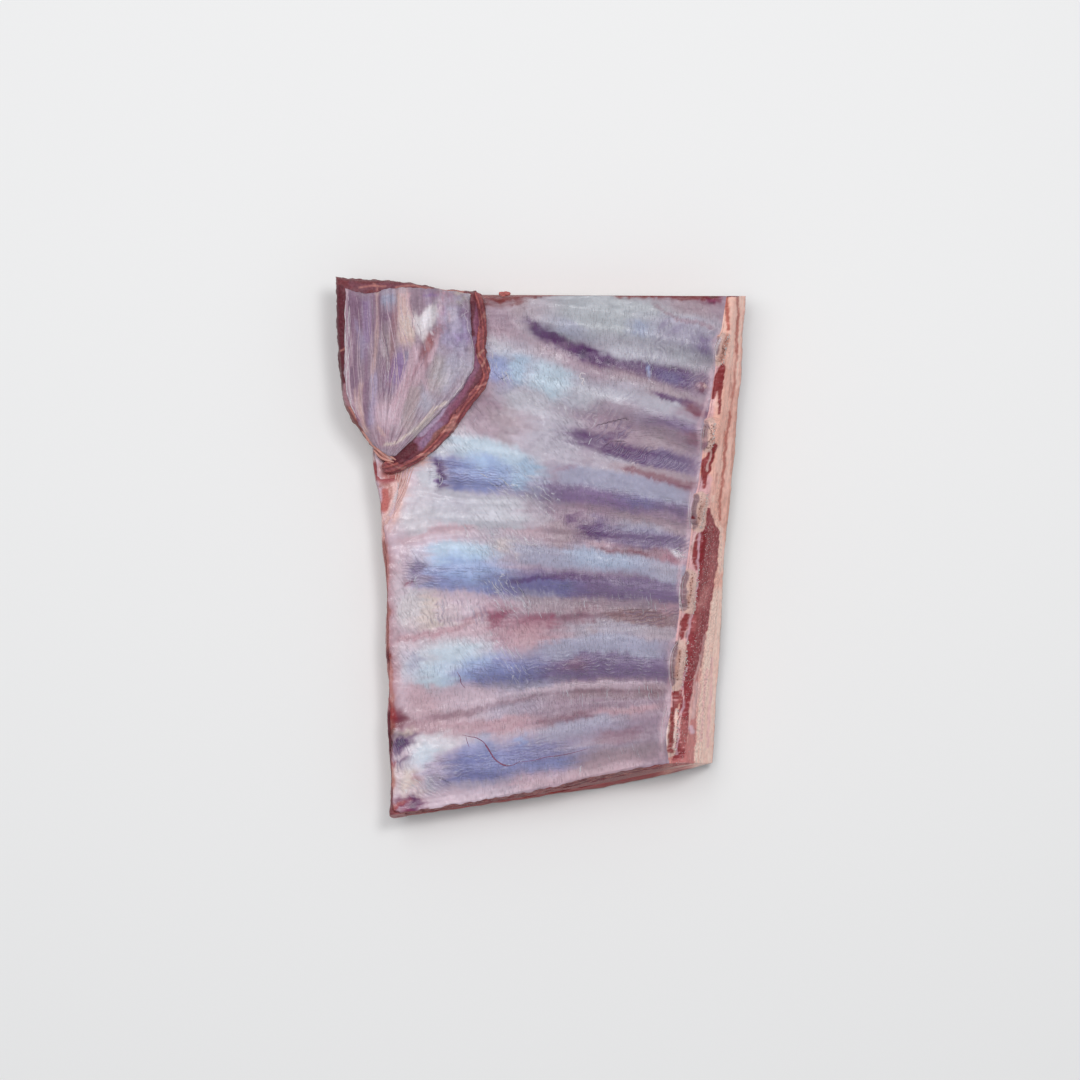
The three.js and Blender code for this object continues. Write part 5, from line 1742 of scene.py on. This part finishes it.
# Fine white threads, partly fascia and partly painted wet glints as pale tubes. Zone: count, length in pixels,
# direction in degrees, spread, half width, path
threadZones = [
    (20, 14, -52, 14, 8, (508, 378, 524, 392, 556, 410)),
    (17, 12, 78, 14, 12, (672, 362, 702, 358)),
    (9, 12, 100, 20, 12, (634, 350, 650, 372)),
    (6, 9, 60, 30, 8, (580, 380, 600, 420, 590, 440)),
    (22, 15, -55, 12, 12, (492, 580, 506, 594, 518, 606)),
    (30, 11, -45, 40, 10, (470, 536, 500, 543, 530, 548)),
    (20, 12, -35, 16, 12, (492, 478, 516, 490, 546, 500)),
    (10, 12, 100, 10, 8, (484, 356, 494, 366, 502, 380)),
    (14, 14, -62, 12, 10, (494, 640, 512, 656, 522, 676)),
    (9, 14, -70, 12, 10, (442, 604, 470, 606)),
    (16, 9, 95, 12, 8, (560, 700, 620, 690, 660, 688)),
    (16, 9, 100, 14, 8, (530, 612, 600, 605, 660, 604)),
    (12, 9, 100, 14, 6, (500, 784, 560, 770, 640, 750)),
    (9, 12, -40, 12, 8, (412, 786, 436, 780)),
    (8, 10, 80, 12, 6, (432, 462, 436, 478, 434, 490)),
    (8, 10, 60, 25, 8, (404, 566, 410, 580, 418, 590)),
    (10, 10, 75, 20, 9, (456, 430, 470, 420, 480, 404)),
    (9, 8, 20, 12, 4, (676, 551, 684, 556)),
]


def threadLines():
    draw = np.random.RandomState(3)
    lines = []
    for count, length, angle, spread, half, path in threadZones:
        for _ in range(count):
            at = alongPath(path, draw.uniform(0, 1, 1))[0] + draw.uniform(-half, half, 2)
            turn = math.radians(angle + draw.uniform(-spread, spread))
            reach = length * draw.uniform(0.45, 1.1) / 2
            step = np.array([math.cos(turn), -math.sin(turn)]) * reach
            bend = np.array([-step[1], step[0]]) * draw.uniform(-0.25, 0.25)
            radius = 0.05 + 0.1 * draw.uniform(0, 1) ** 3
            lines.append(surfaceLine([at - step, at + bend, at + step], radius, liningHeight, 0.5, 3))
    return lines


threadLook = {**fatLook, "rough": 0.3, "coat": 0.5, "strand": 0.0, "fleckStrength": 0.0}
threadMaterial = cutMaterial("fasciaAndGlintThread", threadLook)
tubes("fascia_and_glint_threads", threadLines(), threadMaterial, "milk", "lining")

# Paths and radii of the veins
veinPaths = [
    ((462, 735, 470, 737, 476, 738, 483, 742, 488, 748, 491, 753, 495, 759, 503, 765, 512, 765,
      520, 761), 0.15),
    ((485, 745, 490, 752, 494, 758, 500, 763, 506, 765), 0.24),
    ((518, 762, 534, 760, 545, 757, 560, 755, 574, 752, 588, 748), 0.1),
    ((457, 672, 460, 677, 461, 683, 465, 688), 0.12),
    ((466, 737, 467, 742, 469, 747), 0.1),
]
veins = [surfaceLine(path, radius, liningHeight, 0.55) for path, radius in veinPaths]
tubes("lining_veins", veins, cutMeat, "grape", "meat")

# Paths and radii of the tendons at the skirt's foot
tendonPaths = [
    ((362, 430, 372, 442, 384, 452, 396, 460), 0.55),
    ((366, 438, 376, 448, 390, 460), 0.45),
    ((352, 408, 362, 424, 372, 438, 380, 450), 0.4),
    ((374, 450, 382, 458, 394, 462), 0.5),
]
tendons = [surfaceLine(path, radius, skirtHeight, 0.2) for path, radius in tendonPaths]
tubes("skirt_tendons", tendons, cutFat, "coral", "fat")


# Strands that fan out between two paths
def fan(first, last, count, radii, height, seed):
    draw = np.random.RandomState(seed)
    first, last = pairs(first), pairs(last)
    lines = []
    for i in range(count):
        path = mix(first, last, i / (count - 1)) + draw.uniform(-1.2, 1.2, first.shape)
        lines.append(surfaceLine(path[: draw.randint(3, len(path) + 1)], draw.uniform(*radii), height, 0.4))
    return lines


sternumFan = fan((398, 466, 395, 482, 390, 498, 386, 512, 383, 524),
                 (414, 464, 410, 478, 405, 492, 397, 508, 387, 524), 12, (0.12, 0.34), liningHeight, 5)
tubes("sternum_strands", sternumFan, cutFat, "peach", "fat")

# Fine strands in the silverskin, from the fold down to the tip. Band: strands, from and to across it,
# longest and shortest share of its length, radii
skinStrandBands = {
    "petal": [(10, 0.02, 0.24, 0.6, 0.1, 0.05, 0.13), (14, 0.42, 0.62, 0.5, 0.1, 0.06, 0.18),
              (5, 0.3, 0.5, 0.4, 0.1, 0.06, 0.12)],
    "lard": [(6, 0.05, 0.6, 0.3, 0.1, 0.05, 0.1), (6, 0.6, 0.95, 0.15, 0.05, 0.04, 0.08),
             (6, 0.0, 0.02, 0.5, 0.3, 0.1, 0.16), (4, 0.99, 1.0, 0.3, 0.15, 0.06, 0.1)],
    "amethyst": [(12, 0.04, 0.5, 0.4, 0.1, 0.05, 0.12), (5, 0.6, 0.8, 0.3, 0.1, 0.05, 0.08)],
}


def skinStrand(draw, low, high, longest, shortest, thin, thick):
    across = draw.uniform(low, high)
    share = draw.uniform(shortest, longest)
    start = draw.uniform(0.22, 0.97 - share)
    b = np.linspace(start, start + share, 9)
    a = across + 0.018 * np.cumsum(draw.uniform(-1, 1, 9))
    a = np.clip(a, 0.004, 0.996)
    x, y, z = placeSkin(a, b, np.ones(9))
    taper = 0.3 + 0.7 * np.sin(np.pi * np.linspace(0.02, 0.98, 9)) ** 0.5
    radii = draw.uniform(thin, thick) * taper
    return np.stack([x, y, z - 0.25 * radii], 1), radii


for strandTone, bands in skinStrandBands.items():
    draw = np.random.RandomState(len(strandTone))
    lines = [skinStrand(draw, *band[1:]) for band in bands for _ in range(band[0])]
    tubes("skin_strands_" + strandTone, lines, skirtFace, strandTone, "silverskin")

# The lining's thin lips over the rib ends; on it a pale squiggle, partly a drop of light fat and partly a
# painted glint, and a short painted glint, all as pale tubes
lipPaths = [
    ((718, 338, 714.5, 346, 713, 356, 712.5, 366), 0.08),
    ((721, 336, 717, 344, 715.5, 354), 0.06),
    ((702.5, 424, 700.7, 434, 700.5, 446, 699, 460), 0.08),
    ((704, 428, 702.5, 436, 702.5, 446), 0.05),
    ((690.5, 492, 688.6, 502, 688, 512, 689.5, 528), 0.09),
    ((692.5, 493, 690.5, 503, 690.3, 516), 0.06),
    ((683, 572, 679.8, 582, 679.3, 596, 682.8, 613), 0.09),
    ((685.5, 574, 682, 584, 681.5, 600), 0.06),
    ((678, 641, 671.4, 650, 668.6, 664, 669.3, 680, 673, 692), 0.09),
    ((675.5, 645, 671.4, 658, 672, 680), 0.06),
    ((667, 704, 662.5, 718, 661.2, 736, 662, 752), 0.09),
    ((669, 708, 665, 722, 664, 745), 0.06),
    # Painted highlights: the squiggle, partly fat, and a short glint of the wet lining, as pale tubes
    ((586, 374, 581, 373, 580, 378, 584, 379, 582, 383, 584, 386), 0.26),
    ((674, 550, 678, 551, 681, 556, 684, 556), 0.16),
    ((676, 553, 679, 556), 0.12),
]
lips = [surfaceLine(path, radius, liningHeight, 0.6) for path, radius in lipPaths]
tubes("lining_lips", lips, threadMaterial, "lard", "lining")


# Crumbs of bone and fat from the saw, as small rough grains
def grains(name, places, radii, material, tone, slot, seed):
    draw = np.random.RandomState(seed)
    bm = bmesh.new()
    for place in places:
        turn = Matrix.Rotation(draw.uniform(0, 6.28), 4, Vector(draw.normal(size=3)).normalized())
        stretch = Matrix.Diagonal((*draw.uniform(0.6, 1.4, 3), 1))
        matrix = Matrix.Translation(Vector(place) * mm) @ turn @ stretch
        bmesh.ops.create_icosphere(bm, subdivisions=1, radius=draw.uniform(*radii) * mm, matrix=matrix)
    mesh = bpy.data.meshes.new(name)
    bm.to_mesh(mesh)
    bm.free()
    smooth(mesh)
    shades = np.repeat(draw.uniform(0.8, 1.1, len(places)), len(mesh.vertices) // len(places))
    addColors(mesh, "tone", tones[tone] * shades[:, None])
    mesh.materials.append(material)
    standFor(newObject(name, mesh), slot)


# Places on the sawn face along a path in photo pixels, each a random way off it
def sawnPlaces(draw, path, count, spread, proud):
    path = splinePoint(path, np.sort(draw.uniform(0, 1, count)))
    path = path + draw.normal(0, 1, (count, 2)) * np.array(spread)
    x, y = fromPhoto(path).T
    v, ones = np.clip((y - slab["tailY"]) / slab["length"], 0, 1), np.ones(count)
    low, high = np.zeros(count), np.ones(count)
    for _ in range(16):
        middle = (low + high) / 2
        atX, atY, z = slabPoint(ones, v, middle)
        v = np.clip(v + (y - atY) / slab["length"], 0, 1)
        beyond = atX > x
        low, high = np.where(beyond, middle, low), np.where(beyond, high, middle)
    return list(np.stack([atX + proud, atY, z + 0.5 * proud], 1))


# The rough lower borders of the sawn rib ends, and the marrow in them
crumbPaths = [
    (728, 334, 726, 344, 724, 354, 722, 364),
    (714, 424, 713, 434, 712, 446),
    (707, 494, 705, 506, 702, 518, 700, 529),
    (698, 568, 697, 582, 695, 598, 693, 613),
    (687, 641, 686, 654, 685, 668, 681, 686),
    (677, 708, 677, 722, 676, 738, 674, 752),
]
marrowPaths = [
    (726, 338, 723, 348, 721, 360),
    (711, 426, 710, 436, 708, 448),
    (701, 498, 699, 510, 697, 526),
    (691, 574, 690, 590, 687, 608),
    (679, 650, 678, 662, 676, 680),
    (672, 712, 671, 730, 670, 748),
]
draw = np.random.RandomState(9)
crumbPlaces = [place for path in crumbPaths for place in sawnPlaces(draw, path, 44, (0.7, 1), 0.15)]
marrowPlaces = [place for path in marrowPaths for place in sawnPlaces(draw, path, 30, (0.8, 1), 0.18)]
grains("saw_crumbs", crumbPlaces, (0.12, 0.3), cutBone, "cream", "bone", 21)
grains("marrow_grains", marrowPlaces, (0.1, 0.2), cutBone, "rust", "marrow_bone", 22)

musclePath = (709, 524, 708, 550, 703, 590, 697, 640, 690, 680, 685, 724, 682, 766)
speckPlaces = sawnPlaces(draw, musclePath, 300, (2.6, 1), 0.03)
grains("muscle_specks", speckPlaces, (0.08, 0.19), cutFat, "shell", "fat", 23)

# A loose crumb of meat at the head end
scrap = {"at": (505, 293.5), "lift": 0.5, "radius": 1, "stretch": (1.8, 0.8, 0.8)}
scrapX, scrapY = fromPhoto(scrap["at"])[0]
scrapZ = float(liningHeight(np.array([scrapX]), np.array([scrapY - 1.5]))[0])
bm = bmesh.new()
bmesh.ops.create_icosphere(bm, subdivisions=4, radius=0.5)
bmesh.ops.translate(bm, vec=(0.5, 0.5, 0.5), verts=bm.verts)


def placeScrap(a, b, c):
    lumpy = 1 + 0.25 * clouds(3 * a + b, 3 * c, 1, 241)
    away = (np.stack([a, b, c], 1) - 0.5) * 2 * scrap["radius"]
    away = away * lumpy[:, None] * np.array(scrap["stretch"])
    return scrapX + away[:, 0], scrapY + away[:, 1], scrapZ + scrap["lift"] - 0.5 + away[:, 2]


def paintScrap(a, b, c, x, y, z):
    return {"tone": tones["blood"] * (1 + 0.2 * clouds(x, y + z, 0.8, 243))[:, None]}


meatScrap = shapeObject("meat_scrap", bm, placeScrap, paintScrap, [cutMeat])
standFor(meatScrap, "meat")

# Stage, light and camera
stage = {"floorSize": 6, "floorTone": (0.88, 0.88, 0.88), "skyTone": (0.97, 0.98, 1), "skyStrength": 0.36}
floorMesh = bmesh.new()
bmesh.ops.create_grid(floorMesh, x_segments=1, y_segments=1, size=stage["floorSize"] / 2)
floorData = bpy.data.meshes.new("studio_floor")
floorMesh.to_mesh(floorData)
floorMesh.free()
floor = newObject("studio_floor", floorData)
floorMaterial = bpy.data.materials.new("paleFloor")
floorMaterial.use_nodes = True
floorShader = floorMaterial.node_tree.nodes["Principled BSDF"]
floorShader.inputs["Base Color"].default_value = (*stage["floorTone"], 1)
floorShader.inputs["Roughness"].default_value = 0.9
floorShader.inputs["Specular IOR Level"].default_value = 0.1
floorData.materials.append(floorMaterial)

world = bpy.data.worlds.new("studio")
bpy.context.scene.world = world
world.use_nodes = True
sky = world.node_tree.nodes["Background"].inputs
sky["Color"].default_value = (*stage["skyTone"], 1)
sky["Strength"].default_value = stage["skyStrength"]

lamps = {
    "key": {"at": (0.24, 0.3, 1.1), "size": 0.28, "watts": 4.1},
    "overhead": {"at": (-0.42, 0.35, 1.35), "size": 1, "watts": 8.2},
}
for lampName, lamp in lamps.items():
    data = bpy.data.lights.new(lampName, "AREA")
    data.shape = "SQUARE"
    data.size = lamp["size"]
    data.energy = lamp["watts"]
    lampObject = newObject(lampName, data)
    lampObject.location = lamp["at"]
    lampObject.rotation_euler = (-Vector(lamp["at"])).to_track_quat("-Z", "Y").to_euler()

view = {"height": 2.0, "plane": 0.017, "widthAtPlane": 0.36, "sensor": 36, "aimX": 0.0, "aimY": 0.003}
cameraData = bpy.data.cameras.new("camera")
cameraData.sensor_width = view["sensor"]
cameraData.lens = view["sensor"] * view["height"] / view["widthAtPlane"]
camera = newObject("camera", cameraData)
camera.location = (view["aimX"], view["aimY"], view["plane"] + view["height"])
bpy.context.scene.camera = camera
bpy.context.scene.view_settings.view_transform = "Standard"
print("stage ready")
